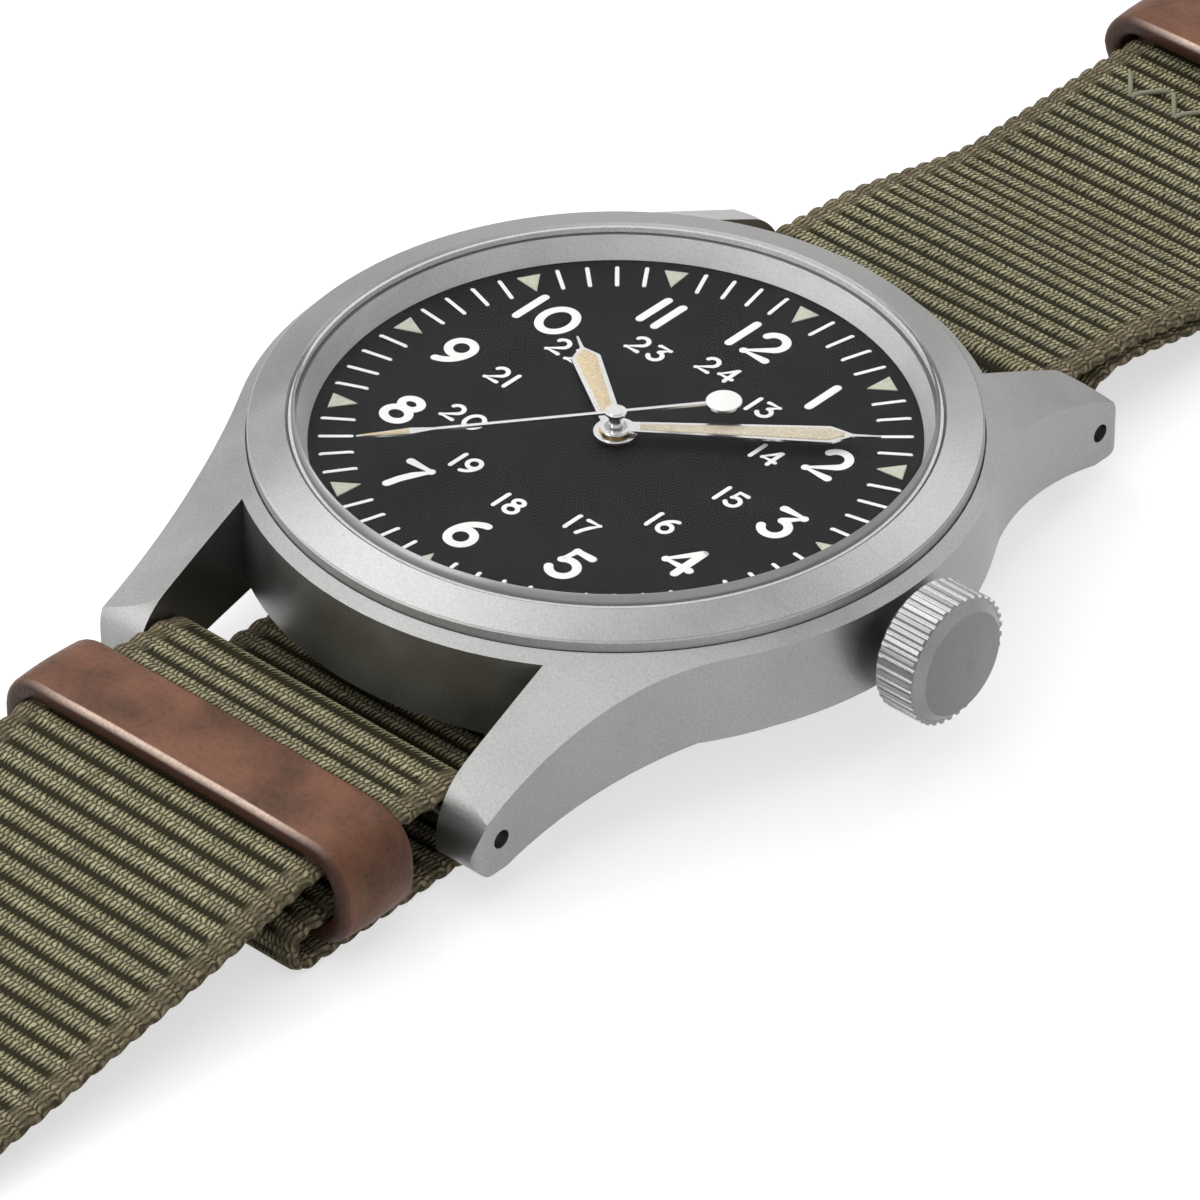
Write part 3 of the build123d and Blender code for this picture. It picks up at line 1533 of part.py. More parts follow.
tail_band = band(tail_points, tail_radii, webbing_t, webbing_w)
with BuildPart() as webbing_tail_side:
    add(tail_band.part)
    fillet(webbing_tail_side.edges().filter_by(Axis.Z).sort_by(Axis.Y)[:2], radius=tail_corner_r)
    with BuildSketch():
        with Locations((0, tail_hole_start - tail_y + tail_hole_step * (tail_hole_count - 1) / 2)):
            with GridLocations(0, tail_hole_step, 1, tail_hole_count):
                Circle(tail_hole_r)
    extrude(amount=2 * webbing_t, mode=Mode.SUBTRACT)
save(webbing_tail_side, "webbing_tail_side")

# Buckle side: the band runs down from the bar to the buckle and folds back under itself
lower_floor_z = leather_t + keeper_gap
upper_floor_z = lower_floor_z + webbing_t + layer_gap
fold_top_z = buckle_bar_z + buckle_fold_r
fold_floor_z = buckle_bar_z - buckle_fold_r - webbing_t
upper_band = band(
    [
        (bar_y + hinge_split, wrap_top_z),
        (descent_y, descent_z),
        (joined_y, upper_floor_z),
        (buckle_y - buckle_flare, upper_floor_z),
        (buckle_y - 2 * buckle_fold_r, fold_top_z),
        (buckle_y, fold_top_z),
    ],
    [bend_r, bend_r, bend_r, bend_r / 2],
    webbing_t,
    webbing_w,
)
lower_band = band(
    [
        (fold_end_y, lower_floor_z),
        (buckle_y - buckle_flare, lower_floor_z),
        (buckle_y - 2 * buckle_fold_r, fold_floor_z),
        (buckle_y, fold_floor_z),
    ],
    [bend_r / 2, bend_r / 2],
    webbing_t,
    webbing_w,
)
with BuildPart() as webbing_buckle_side:
    add(upper_band.part)
    add(lower_band.part)
    with BuildSketch(Plane.YZ):
        with Locations((buckle_y, buckle_bar_z)):
            Circle(buckle_fold_r + webbing_t)
            Circle(buckle_fold_r, mode=Mode.SUBTRACT)
        with Locations((buckle_y - buckle_flare / 2, buckle_bar_z)):
            Rectangle(buckle_flare, buckle_flare, mode=Mode.SUBTRACT)
    extrude(amount=webbing_w / 2, both=True)
    with BuildSketch():
        with Locations((0, buckle_y + (tongue_slot_front - tongue_slot_back) / 2)):
            Rectangle(tongue_slot_w, tongue_slot_front + tongue_slot_back)
    extrude(amount=2 * buckle_bar_z + overrun, mode=Mode.SUBTRACT)
save(webbing_buckle_side, "webbing_buckle_side")

# Underlay: the second layer of webbing, under the case and out to the two sewn ends
underlay_middle = band(
    [
        (-keeper_y, 0),
        (ramp_start_y, 0),
        (ramp_end_y, ramp_end_z),
    ],
    [ramp_r],
    webbing_t,
    webbing_w,
)
save(underlay_middle, "underlay_middle")

ramp_join_y = ramp_end_y + layer_gap
underlay_buckle_side = band(
    [
        (ramp_join_y, ramp_end_z),
        (descent_y, descent_z - ramp_lift),
        (joined_y, lower_floor_z),
        (underlay_end_y, lower_floor_z),
    ],
    [bend_r, bend_r],
    webbing_t,
    webbing_w,
)
save(underlay_buckle_side, "underlay_buckle_side")

fold_outer_h = 2 * webbing_t + leather_t + 2 * keeper_gap
underlay_keeper_end = band(
    [
        (keeper_fold_back_y, fold_outer_h),
        (-keeper_fold_y, fold_outer_h),
        (-keeper_fold_y, 0),
        (-keeper_y - layer_gap, 0),
    ],
    [fold_outer_h / 2 - press_gap, fold_outer_h / 2 - press_gap],
    webbing_t,
    webbing_w,
)
save(underlay_keeper_end, "underlay_keeper_end")

# Leather keepers: closed loops round the webbing


def keeper_loop(y, low_z, height):
    """A rounded leather loop that starts at y and reaches keeper_w further along the strap."""
    with BuildPart() as loop:
        with BuildSketch(Plane.XZ.offset(-y)):
            with Locations((0, low_z + height / 2)):
                RectangleRounded(2 * keeper_outer_x, height, keeper_r)
                RectangleRounded(
                    2 * (keeper_outer_x - leather_t),
                    height - 2 * leather_t,
                    keeper_r - leather_t,
                    mode=Mode.SUBTRACT,
                )
        extrude(amount=-keeper_w)
    return loop


lug_keeper = keeper_loop(-keeper_y - keeper_w, webbing_t + keeper_gap, keeper_rise)
save(lug_keeper, "lug_keeper")
keeper_inner_h = 2 * webbing_t + 3 * layer_gap + keeper_slack
fixed_keeper = keeper_loop(fixed_keeper_y, 0, keeper_inner_h + 2 * leather_t)
save(fixed_keeper, "fixed_keeper")
free_keeper = keeper_loop(free_keeper_y, 0, keeper_inner_h + 2 * leather_t)
save(free_keeper, "free_keeper")

# Buckle: arched steel frame, the bar through its arms, and the tongue that swings on the bar
frame_side_gap = 1.1
frame_arm_w = 2.3
frame_outer_x = webbing_w / 2 + frame_side_gap + frame_arm_w
frame_front_w = 2.6
frame_length = 16.0
frame_eye_wall = 0.85
frame_end_r = buckle_bar_r + frame_eye_wall
frame_t = 2.4
frame_corner_r = 3.0
frame_inner_corner_r = 1.2
tongue_w = 1.8
tongue_t = 1.1
tongue_ring_wall = 0.75
tongue_ring_r = buckle_bar_r + tongue_ring_wall
tongue_overhang = 0.7
frame_front_y = buckle_y + frame_length
frame_back_y = buckle_y - frame_end_r

with BuildPart() as buckle_frame:
    with BuildSketch():
        with BuildLine():
            Polyline(
                (frame_outer_x, frame_back_y),
                (frame_outer_x, frame_front_y),
                (-frame_outer_x, frame_front_y),
                (-frame_outer_x, frame_back_y),
                (frame_arm_w - frame_outer_x, frame_back_y),
                (frame_arm_w - frame_outer_x, frame_front_y - frame_front_w),
                (frame_outer_x - frame_arm_w, frame_front_y - frame_front_w),
                (frame_outer_x - frame_arm_w, frame_back_y),
                close=True,
            )
        make_face()
    extrude(amount=2 * frame_t + overrun)
    fillet(buckle_frame.edges().filter_by(Axis.Z).sort_by(Axis.Y)[-4:-2], radius=frame_inner_corner_r)
    fillet(buckle_frame.edges().filter_by(Axis.Z).group_by(Axis.Y)[-1], radius=frame_corner_r)
    with BuildSketch(Plane.YZ):
        with BuildLine():
            floor = ThreePointArc(
                (frame_back_y, buckle_bar_z - frame_end_r / 2),
                ((frame_back_y + frame_front_y) / 2, frame_end_r / 2),
                (frame_front_y, 0),
            )
            front = Polyline(
                floor @ 1,
                (frame_front_y, frame_t),
                (frame_front_y - frame_front_w, frame_t),
            )
            crest = ThreePointArc(
                front @ 1,
                ((frame_back_y + frame_front_y) / 2, frame_end_r / 2 + frame_t),
                (frame_back_y, buckle_bar_z + frame_end_r),
            )
            Line(crest @ 1, floor @ 0)
        make_face()
    extrude(amount=frame_outer_x + overrun, both=True, mode=Mode.INTERSECT)
    with BuildSketch(Plane.YZ):
        with Locations((buckle_y, buckle_bar_z)):
            Circle(buckle_bar_r + press_gap)
    extrude(amount=frame_outer_x + overrun, both=True, mode=Mode.SUBTRACT)
save(buckle_frame, "buckle_frame")

with BuildPart() as buckle_bar:
    with BuildSketch(Plane.YZ):
        with Locations((buckle_y, buckle_bar_z)):
            Circle(buckle_bar_r)
    extrude(amount=frame_outer_x, both=True)
save(buckle_bar, "buckle_bar")

with BuildPart() as buckle_tongue:
    with BuildSketch(Plane.YZ):
        with Locations((buckle_y, buckle_bar_z)):
            Circle(tongue_ring_r)
        with BuildLine():
            Polyline(
                (buckle_y, buckle_bar_z + tongue_ring_r - tongue_t),
                (buckle_y, buckle_bar_z + tongue_ring_r),
                (frame_front_y - frame_front_w, frame_t + layer_gap + tongue_t),
                (frame_front_y + tongue_overhang, frame_t + layer_gap + tongue_t / 2),
                (frame_front_y + tongue_overhang, frame_t + layer_gap),
                (frame_front_y - frame_front_w, frame_t + layer_gap),
                close=True,
            )
        make_face()
        with Locations((buckle_y, buckle_bar_z)):
            Circle(buckle_bar_r + run_gap, mode=Mode.SUBTRACT)
    extrude(amount=tongue_w / 2, both=True)
save(buckle_tongue, "buckle_tongue")
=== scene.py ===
"""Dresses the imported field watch: steel finishes, printed dial, ribbed webbing, leather keepers and the studio."""

import bisect
import functools
import logging
import math
from dataclasses import dataclass
from enum import Enum
from typing import Callable, Sequence

import bmesh
import bpy
from mathutils import Matrix, Quaternion, Vector, noise


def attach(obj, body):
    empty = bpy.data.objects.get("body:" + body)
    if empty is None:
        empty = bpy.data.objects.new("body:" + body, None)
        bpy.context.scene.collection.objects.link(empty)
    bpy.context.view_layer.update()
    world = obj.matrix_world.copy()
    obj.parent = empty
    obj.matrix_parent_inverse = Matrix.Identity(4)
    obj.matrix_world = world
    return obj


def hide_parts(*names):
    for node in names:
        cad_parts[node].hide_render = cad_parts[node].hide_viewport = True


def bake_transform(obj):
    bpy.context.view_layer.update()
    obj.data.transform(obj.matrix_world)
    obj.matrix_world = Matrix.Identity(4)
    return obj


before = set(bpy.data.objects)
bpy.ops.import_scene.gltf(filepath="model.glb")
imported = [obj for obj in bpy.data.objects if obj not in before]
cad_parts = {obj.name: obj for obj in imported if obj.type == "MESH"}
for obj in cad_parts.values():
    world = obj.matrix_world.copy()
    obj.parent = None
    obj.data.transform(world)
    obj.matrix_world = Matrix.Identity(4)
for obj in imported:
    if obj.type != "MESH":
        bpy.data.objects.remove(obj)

Point = tuple[float, float]
Colour = tuple[float, float, float]
Socket = bpy.types.NodeSocket

MM = 0.001
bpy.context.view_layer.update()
LOG = logging.getLogger("field_watch")

# The spans over which noise of about 0.5 is read, from a hard change to a soft one.
NARROW, MIDDLE, BROAD = (0.35, 0.65), (0.3, 0.7), (0.25, 0.75)
WHITE = (1.0, 1.0, 1.0, 1.0)

# Faces that meet at more than this look sharp, and points nearer than this are one, in any unit.
SHARP_FACES = math.radians(50)
SAME_PLACE = 1e-6


# Node trees


class Tree:
    """A node tree with short calls that add, fill and join its nodes."""

    def __init__(self, nodes_of: bpy.types.NodeTree) -> None:
        """Wraps the node tree of a material, world or group."""
        self.tree = nodes_of

    def feed(self, socket: Socket, value: object) -> None:
        """Links a socket to an input, or sets the input's own value.

        Args:
            socket: The input.
            value: The socket that feeds it, or its value.
        """
        if isinstance(value, Socket):
            self.tree.links.new(value, socket)
        else:
            socket.default_value = value

    def fill(self, node: bpy.types.Node, **inputs: object) -> bpy.types.Node:
        """Fills a node's inputs.

        Args:
            node: The node.
            **inputs: Values or sockets by input name, with _ for a space.

        Returns:
            The same node.
        """
        for name, value in inputs.items():
            self.feed(node.inputs[name.replace("_", " ")], value)
        return node

    def add(self, kind: str, **inputs: object) -> bpy.types.Node:
        """Adds a node of a kind, given without its ShaderNode prefix, and fills its inputs."""
        return self.fill(self.tree.nodes.new("ShaderNode" + kind), **inputs)

    def maths(self, operation: str, *values: object) -> Socket:
        """Adds a Math node and gives its output.

        Args:
            operation: The node's operation.
            *values: Its inputs in order, each a number or a socket.

        Returns:
            The node's output.
        """
        node = self.add("Math")
        node.operation = operation
        for socket, value in zip(node.inputs, values):
            self.feed(socket, value)
        return node.outputs[0]

    def times(self, *factors: object) -> Socket:
        """The product of two or more numbers or sockets."""
        return functools.reduce(functools.partial(self.maths, "MULTIPLY"), factors)

    def mix(self, share: object, first: object, second: object) -> Socket:
        """Adds a colour mix.

        Args:
            share: How much of the second colour shows.
            first: The colour at 0, a socket or three parts.
            second: The colour at 1.

        Returns:
            The mixed colour.
        """
        node = self.add("Mix")
        node.data_type = "RGBA"
        self.feed(node.inputs[0], share)
        for socket, colour in ((node.inputs[6], first), (node.inputs[7], second)):
            self.feed(socket, colour if isinstance(colour, Socket) else (*colour, 1.0))
        return node.outputs[2]

    def ramp(self, value: object, low: float, high: float, to_low: float = 0.0, to_high: float = 1.0) -> Socket:
        """Maps a value from one span to another, held at both ends.

        Args:
            value: The number or socket to map.
            low: The value that gives to_low.
            high: The value that gives to_high.
            to_low: The result at the low end.
            to_high: The result at the high end.

        Returns:
            The mapped value.
        """
        node = self.add("MapRange")
        for socket, given in zip(node.inputs, (value, low, high, to_low, to_high)):
            self.feed(socket, given)
        return node.outputs[0]

    def place(self) -> Socket:
        """The place on the piece, in its own coordinates."""
        return self.add("TexCoord").outputs["Object"]

    def unrolled(self) -> tuple[Socket, Socket]:
        """The two coordinates of the piece's UV map."""
        parts = self.add("SeparateXYZ", Vector=self.add("UVMap").outputs[0])
        return parts.outputs[0], parts.outputs[1]

    def speckle(self, size: float, detail: float = 2.0, stretch: Sequence[float] = (1, 1, 1)) -> Socket:
        """Adds noise on the piece's own coordinates.

        Args:
            size: The size of one grain in millimetres.
            detail: How many finer layers it has.
            stretch: How much finer it is along each axis.

        Returns:
            The noise value, about 0.5.
        """
        mapping = self.add("Mapping", Vector=self.place(), Scale=tuple(stretch))
        return self.add("TexNoise", Vector=mapping.outputs[0], Scale=1 / (size * MM), Detail=detail).outputs[0]

    def bump(self, relief: float, height: Socket) -> Socket:
        """The normal of marks that are some millimetres deep, where height is one."""
        return self.add("Bump", Strength=1.0, Distance=relief * MM, Height=height).outputs[0]

    def see_through(self, shader: bpy.types.Node, clear: Socket) -> None:
        """Makes the material's shader transparent in places.

        Args:
            shader: The shader.
            clear: One where it is transparent.
        """
        mixed = self.add("MixShader", Fac=clear)
        self.feed(mixed.inputs[1], shader.outputs[0])
        self.feed(mixed.inputs[2], self.add("BsdfTransparent").outputs[0])
        self.fill(self.tree.nodes["Material Output"], Surface=mixed.outputs[0])


def new_group(name: str, inputs: dict[str, float], outputs: Sequence[str]) -> tuple[Tree, dict, bpy.types.Node]:
    """Starts a shader node group of numbers.

    Args:
        name: The group's name.
        inputs: The default of each input.
        outputs: The names of its outputs.

    Returns:
        The group's tree, its input sockets by name and its output node.
    """
    number = "NodeSocketFloat"
    group = bpy.data.node_groups.new(name, "ShaderNodeTree")
    for label, default in inputs.items():
        group.interface.new_socket(label, in_out="INPUT", socket_type=number).default_value = default
    for label in outputs:
        group.interface.new_socket(label, in_out="OUTPUT", socket_type=number)
    source = group.nodes.new("NodeGroupInput")
    return Tree(group), {label: source.outputs[label] for label in inputs}, group.nodes.new("NodeGroupOutput")


@functools.cache
def wear_group() -> bpy.types.NodeTree:
    """Handling wear: broad smudges and fine grain that shift roughness and brightness.

    Returns:
        The group, with inputs Smudge Size and Grain Size in millimetres, and outputs Smudge and Grain.
    """
    tree, given, end = new_group("handling_wear", {"Smudge Size": 6.0, "Grain Size": 0.12}, ("Smudge", "Grain"))
    place = tree.place()
    for label, detail in (("Smudge", 4.0), ("Grain", 2.0)):
        scale = tree.maths("DIVIDE", 1 / MM, given[label + " Size"])
        tree.fill(end, **{label: tree.add("TexNoise", Vector=place, Scale=scale, Detail=detail).outputs[0]})
    return tree.tree


@functools.cache
def weave_group() -> bpy.types.NodeTree:
    """Ribbed webbing: cords across the band, wrapped by slanting warp threads.

    Returns:
        The group, with the outputs Rib, Thread, Shade and Height, each from 0 to 1.
    """
    wander_size, wander_reach = 0.5, 1.5
    cord_shift, row_shift = 0.37, 0.5
    tight_reach, tight_share, fullness = 0.1, 0.45, 0.7
    tree, given, end = new_group(
        "ribbed_weave",
        {"Rib Pitch": 1.3, "Thread Pitch": 0.27, "Slant": 1.1},
        ("Rib", "Thread", "Shade", "Height"),
    )
    u, v = tree.unrolled()
    across = tree.maths("DIVIDE", u, tree.times(given["Thread Pitch"], MM))
    along = tree.maths("DIVIDE", v, tree.times(given["Rib Pitch"], MM))
    cord = tree.maths("FLOOR", along)
    place_in_cord = tree.maths("SUBTRACT", tree.maths("SUBTRACT", along, cord), 0.5)
    rib = tree.maths("COSINE", tree.times(place_in_cord, math.pi))
    wander = tree.times(tree.maths("SUBTRACT", tree.speckle(wander_size), 0.5), wander_reach)
    from_crest = tree.maths("ABSOLUTE", place_in_cord)
    row = tree.maths("GREATER_THAN", place_in_cord, 0.0)
    leaning = tree.maths("MULTIPLY_ADD", from_crest, given["Slant"], across)
    offset = tree.maths("ADD", tree.times(cord, cord_shift), tree.times(row, row_shift))
    threads = tree.maths("ADD", tree.maths("ADD", leaning, offset), wander)
    number = tree.maths("FLOOR", threads)
    thread = tree.maths("SINE", tree.times(tree.maths("SUBTRACT", threads, number), math.pi))
    rounded = tree.times(thread, tree.ramp(from_crest, 0.0, tight_reach, tight_share, 1.0))
    seed = tree.add("CombineXYZ", X=number, Y=cord, Z=row)
    shade = tree.add("TexWhiteNoise", Vector=seed.outputs[0]).outputs[0]
    height = tree.times(tree.maths("POWER", rounded, fullness), rib)
    tree.fill(end, Rib=rib, Thread=rounded, Shade=shade, Height=height)
    return tree.tree


def placed(tree: Tree, group: bpy.types.NodeTree, **inputs: float) -> bpy.types.Node:
    """Places a shared group in a tree.

    Args:
        tree: The tree that uses the group.
        group: The shared group.
        **inputs: The group's values by name, with _ for a space.

    Returns:
        The group's node.
    """
    node = tree.add("Group")
    node.node_tree = group
    return tree.fill(node, **inputs)


# Finishes


def shader_of(name: str) -> tuple[bpy.types.Material, Tree, bpy.types.Node]:
    """Starts a material.

    Args:
        name: The material's name.

    Returns:
        The material, its tree and its Principled shader.
    """
    material = bpy.data.materials.new(name)
    material.use_nodes = True
    return material, Tree(material.node_tree), material.node_tree.nodes["Principled BSDF"]


def scaled(colour: Colour, share: float) -> Colour:
    """A colour made darker or lighter by a share."""
    return tuple(min(1.0, part * share) for part in colour)


class Measure(Enum):
    """What places a zone on a piece."""

    ACROSS = "across"
    RADIUS = "radius"


@dataclass(frozen=True)
class Zone:
    """A part of a piece where its metal has another brightness and roughness.

    Attributes:
        measure: What places the zone.
        low: Where it starts, in millimetres.
        high: Where it ends.
        share: Its brightness as a share of the piece's.
        roughness: Its roughness.
    """

    measure: Measure
    low: float
    high: float
    share: float
    roughness: float

    def mask(self, tree: Tree) -> Socket:
        """Marks the zone.

        Args:
            tree: The material's tree.

        Returns:
            One inside the zone and nought outside it.
        """
        x, y, _ = tree.add("SeparateXYZ", Vector=tree.place()).outputs
        reach = x
        if self.measure is Measure.RADIUS:
            reach = tree.maths("SQRT", tree.maths("ADD", tree.times(x, x), tree.times(y, y)))
        above = tree.maths("GREATER_THAN", reach, self.low * MM)
        return tree.times(above, tree.maths("LESS_THAN", reach, self.high * MM))


@dataclass(frozen=True)
class Finish:
    """A procedural material.

    Attributes:
        name: The material's name.
    """

    name: str

    @functools.cache
    def material(self) -> bpy.types.Material:
        """Builds the material once.

        Returns:
            The material.
        """
        material, tree, shader = shader_of(self.name)
        self.fill(tree, shader)
        return material

    def fill(self, tree: Tree, shader: bpy.types.Node) -> None:
        """Fills the shader.

        Args:
            tree: The material's tree.
            shader: Its Principled shader.
        """
        raise NotImplementedError


@dataclass(frozen=True)
class MetalFinish(Finish):
    """A blasted, brushed or polished metal.

    Attributes:
        colour: The metal's colour.
        roughness: The mean roughness.
        grain: The size of the blasting or brushing marks in millimetres.
        relief: How deep the marks are, in millimetres.
        stretch: How much finer the marks are along each axis.
        mottle: How much the brightness changes over the surface.
        zones: The parts with another brightness and roughness, some of it painted light and shade.
    """

    colour: Colour
    roughness: float
    grain: float = 0.12
    relief: float = 0.004
    stretch: tuple[float, float, float] = (1, 1, 1)
    mottle: float = 0.12
    zones: tuple[Zone, ...] = ()

    def fill(self, tree: Tree, shader: bpy.types.Node) -> None:
        """Mottles the colour, smudges the shine and marks the surface, with each zone on top.

        Args:
            tree: The material's tree.
            shader: Its Principled shader.
        """
        smudge = placed(tree, wear_group(), Grain_Size=self.grain).outputs["Smudge"]
        marks = tree.speckle(self.grain, 3.0, self.stretch)
        patchy = tree.maths("ADD", tree.times(smudge, 0.5), tree.times(marks, 0.5))
        patch = tree.ramp(patchy, *MIDDLE)
        dark, light = scaled(self.colour, 1 - self.mottle), scaled(self.colour, 1 + self.mottle)
        colour = tree.mix(patch, dark, light)
        spread = 0.25 * self.roughness
        rough = tree.ramp(smudge, *BROAD, self.roughness - spread, self.roughness + spread)
        # Each zone scales the brightness: painted light on the rehaut, painted shade on the crown's chamfer and face.
        for zone in self.zones:
            mask = zone.mask(tree)
            colour = tree.mix(mask, colour, tree.mix(patch, scaled(dark, zone.share), scaled(light, zone.share)))
            rough = tree.ramp(mask, 0.0, 1.0, rough, zone.roughness)
        tree.fill(shader, Base_Color=colour, Roughness=rough, Metallic=1.0, Normal=tree.bump(self.relief, marks))


@dataclass(frozen=True)
class PaintFinish(Finish):
    """A paint, print, plastic or rubber.

    Attributes:
        colour: The paint's colour.
        roughness: The mean roughness.
        grain: The grain size in millimetres.
        relief: How deep the grain is, in millimetres.
        mottle: How much the brightness changes over the surface.
        gloss: The strength of its shine, 0.5 for plain plastic.
    """

    colour: Colour
    roughness: float
    grain: float = 0.2
    relief: float = 0.003
    mottle: float = 0.1
    gloss: float = 0.5

    def fill(self, tree: Tree, shader: bpy.types.Node) -> None:
        """Mottles the colour, smudges the shine and adds the grain.

        Args:
            tree: The material's tree.
            shader: Its Principled shader.
        """
        wear = placed(tree, wear_group(), Grain_Size=self.grain, Smudge_Size=4.0)
        grain = wear.outputs["Grain"]
        dark, light = scaled(self.colour, 1 - self.mottle), scaled(self.colour, 1 + self.mottle)
        spread = 0.15 * self.roughness
        tree.fill(
            shader,
            Base_Color=tree.mix(tree.ramp(grain, *NARROW), dark, light),
            Roughness=tree.ramp(wear.outputs["Smudge"], *BROAD, self.roughness - spread, self.roughness + spread),
            Specular_IOR_Level=self.gloss,
            Normal=tree.bump(self.relief, grain),
        )


@dataclass(frozen=True)
class GlassFinish(Finish):
    """A thin clear crystal that hardly bends the view, with a faint coating that shines, and no shadow.

    Attributes:
        shine: The weight of the coating's reflection.
    """

    shine: float

    def fill(self, tree: Tree, shader: bpy.types.Node) -> None:
        """Smears the coating and lets shadow and diffuse rays through.

        Args:
            tree: The material's tree.
            shader: Its Principled shader.
        """
        tree.fill(
            shader,
            Base_Color=WHITE,
            Roughness=0.0,
            Metallic=0.0,
            Transmission_Weight=1.0,
            IOR=1.0,
            Coat_Weight=tree.ramp(tree.speckle(5.0, 4.0), *MIDDLE, 0.8 * self.shine, 1.2 * self.shine),
            Coat_IOR=1.3,
            Coat_Roughness=0.02,
        )
        ray = tree.add("LightPath")
        tree.see_through(shader, tree.maths("MAXIMUM", ray.outputs["Is Shadow Ray"], ray.outputs["Is Diffuse Ray"]))


@dataclass(frozen=True)
class BevelFinish(Finish):
    """The ground bevel of a crystal: grey from outside, clear from inside.

    Attributes:
        dark: Its colour where it is handled.
        light: Its colour where it is clean.
    """

    dark: Colour
    light: Colour

    def fill(self, tree: Tree, shader: bpy.types.Node) -> None:
        """Smudges the ground glass and opens it to shadow rays and from inside.

        Args:
            tree: The material's tree.
            shader: Its Principled shader.
        """
        wear = placed(tree, wear_group(), Smudge_Size=5.0, Grain_Size=0.1)
        tree.fill(
            shader,
            Base_Color=tree.mix(tree.ramp(wear.outputs["Smudge"], *MIDDLE), self.dark, self.light),
            Roughness=tree.ramp(wear.outputs["Grain"], *MIDDLE, 0.3, 0.45),
            Metallic=1.0,
        )
        ray, side = tree.add("LightPath"), tree.add("NewGeometry")
        tree.see_through(shader, tree.maths("MAXIMUM", ray.outputs["Is Shadow Ray"], side.outputs["Backfacing"]))


@dataclass(frozen=True)
class WebbingFinish(Finish):
    """Olive nylon webbing with ribs and wrapped threads and painted shade between them, placed by the band's own UV map
    in metres.

    Attributes:
        deep: The painted shade between threads and ribs.
        light: The colour of a thread on a rib's crest.
        rib_pitch: The distance from rib to rib in millimetres.
        thread_pitch: The distance from thread to thread in millimetres.
        crest: The spans of rib and thread height over which the painted shade gives way to the thread's colour.
        selvedge: The distances from the band's middle at which its woven edge starts and is whole.
        selvedge_fill: How far the woven edge closes the gaps between ribs.
        selvedge_colour: The colour of the threads in the woven edge.
    """

    deep: Colour
    light: Colour
    rib_pitch: float
    thread_pitch: float = 0.27
    crest: tuple[float, float] = (0.72, 1.3)
    selvedge: tuple[float, float] = (8.4, 8.9)
    selvedge_fill: float = 0.55
    selvedge_colour: Colour = (0.36, 0.3, 0.19)

    def fill(self, tree: Tree, shader: bpy.types.Node) -> None:
        """Paints shade between threads and ribs and the thread colour on the crests, closes the woven edge and wears
        both.

        Args:
            tree: The material's tree.
            shader: Its Principled shader.
        """
        weave = placed(tree, weave_group(), Rib_Pitch=self.rib_pitch, Thread_Pitch=self.thread_pitch)
        wear = placed(tree, wear_group(), Smudge_Size=9.0, Grain_Size=0.08)
        thread = weave.outputs["Thread"]
        # Between threads only groove_light of the thread colour shows; the rest is painted shade.
        thread_share, thread_span, groove_light = 0.5, (0.2, 0.95), 0.3
        reach = tree.maths("MULTIPLY_ADD", thread, thread_share, weave.outputs["Rib"])
        from_middle = tree.maths("DIVIDE", tree.maths("ABSOLUTE", tree.unrolled()[0]), MM)
        at_edge = tree.ramp(from_middle, *self.selvedge)
        # The thread colour shows on rib crests and in the woven edge; the grooves between ribs get painted shade.
        on_crest = tree.maths("MAXIMUM", tree.ramp(reach, *self.crest), tree.times(at_edge, self.selvedge_fill))
        on_thread = tree.ramp(thread, *thread_span, groove_light, 1.0)
        shade = tree.ramp(weave.outputs["Shade"], 0.0, 1.0, 0.6, 1.05)
        worn = tree.ramp(wear.outputs["Smudge"], *MIDDLE, 0.85, 1.05)
        share = tree.times(on_crest, on_thread, shade, worn)
        tree.fill(
            shader,
            Base_Color=tree.mix(share, self.deep, tree.mix(at_edge, self.light, self.selvedge_colour)),
            Roughness=tree.ramp(wear.outputs["Grain"], *MIDDLE, 0.62, 0.8),
            Specular_IOR_Level=0.15,
            Normal=tree.bump(0.12, weave.outputs["Height"]),
        )


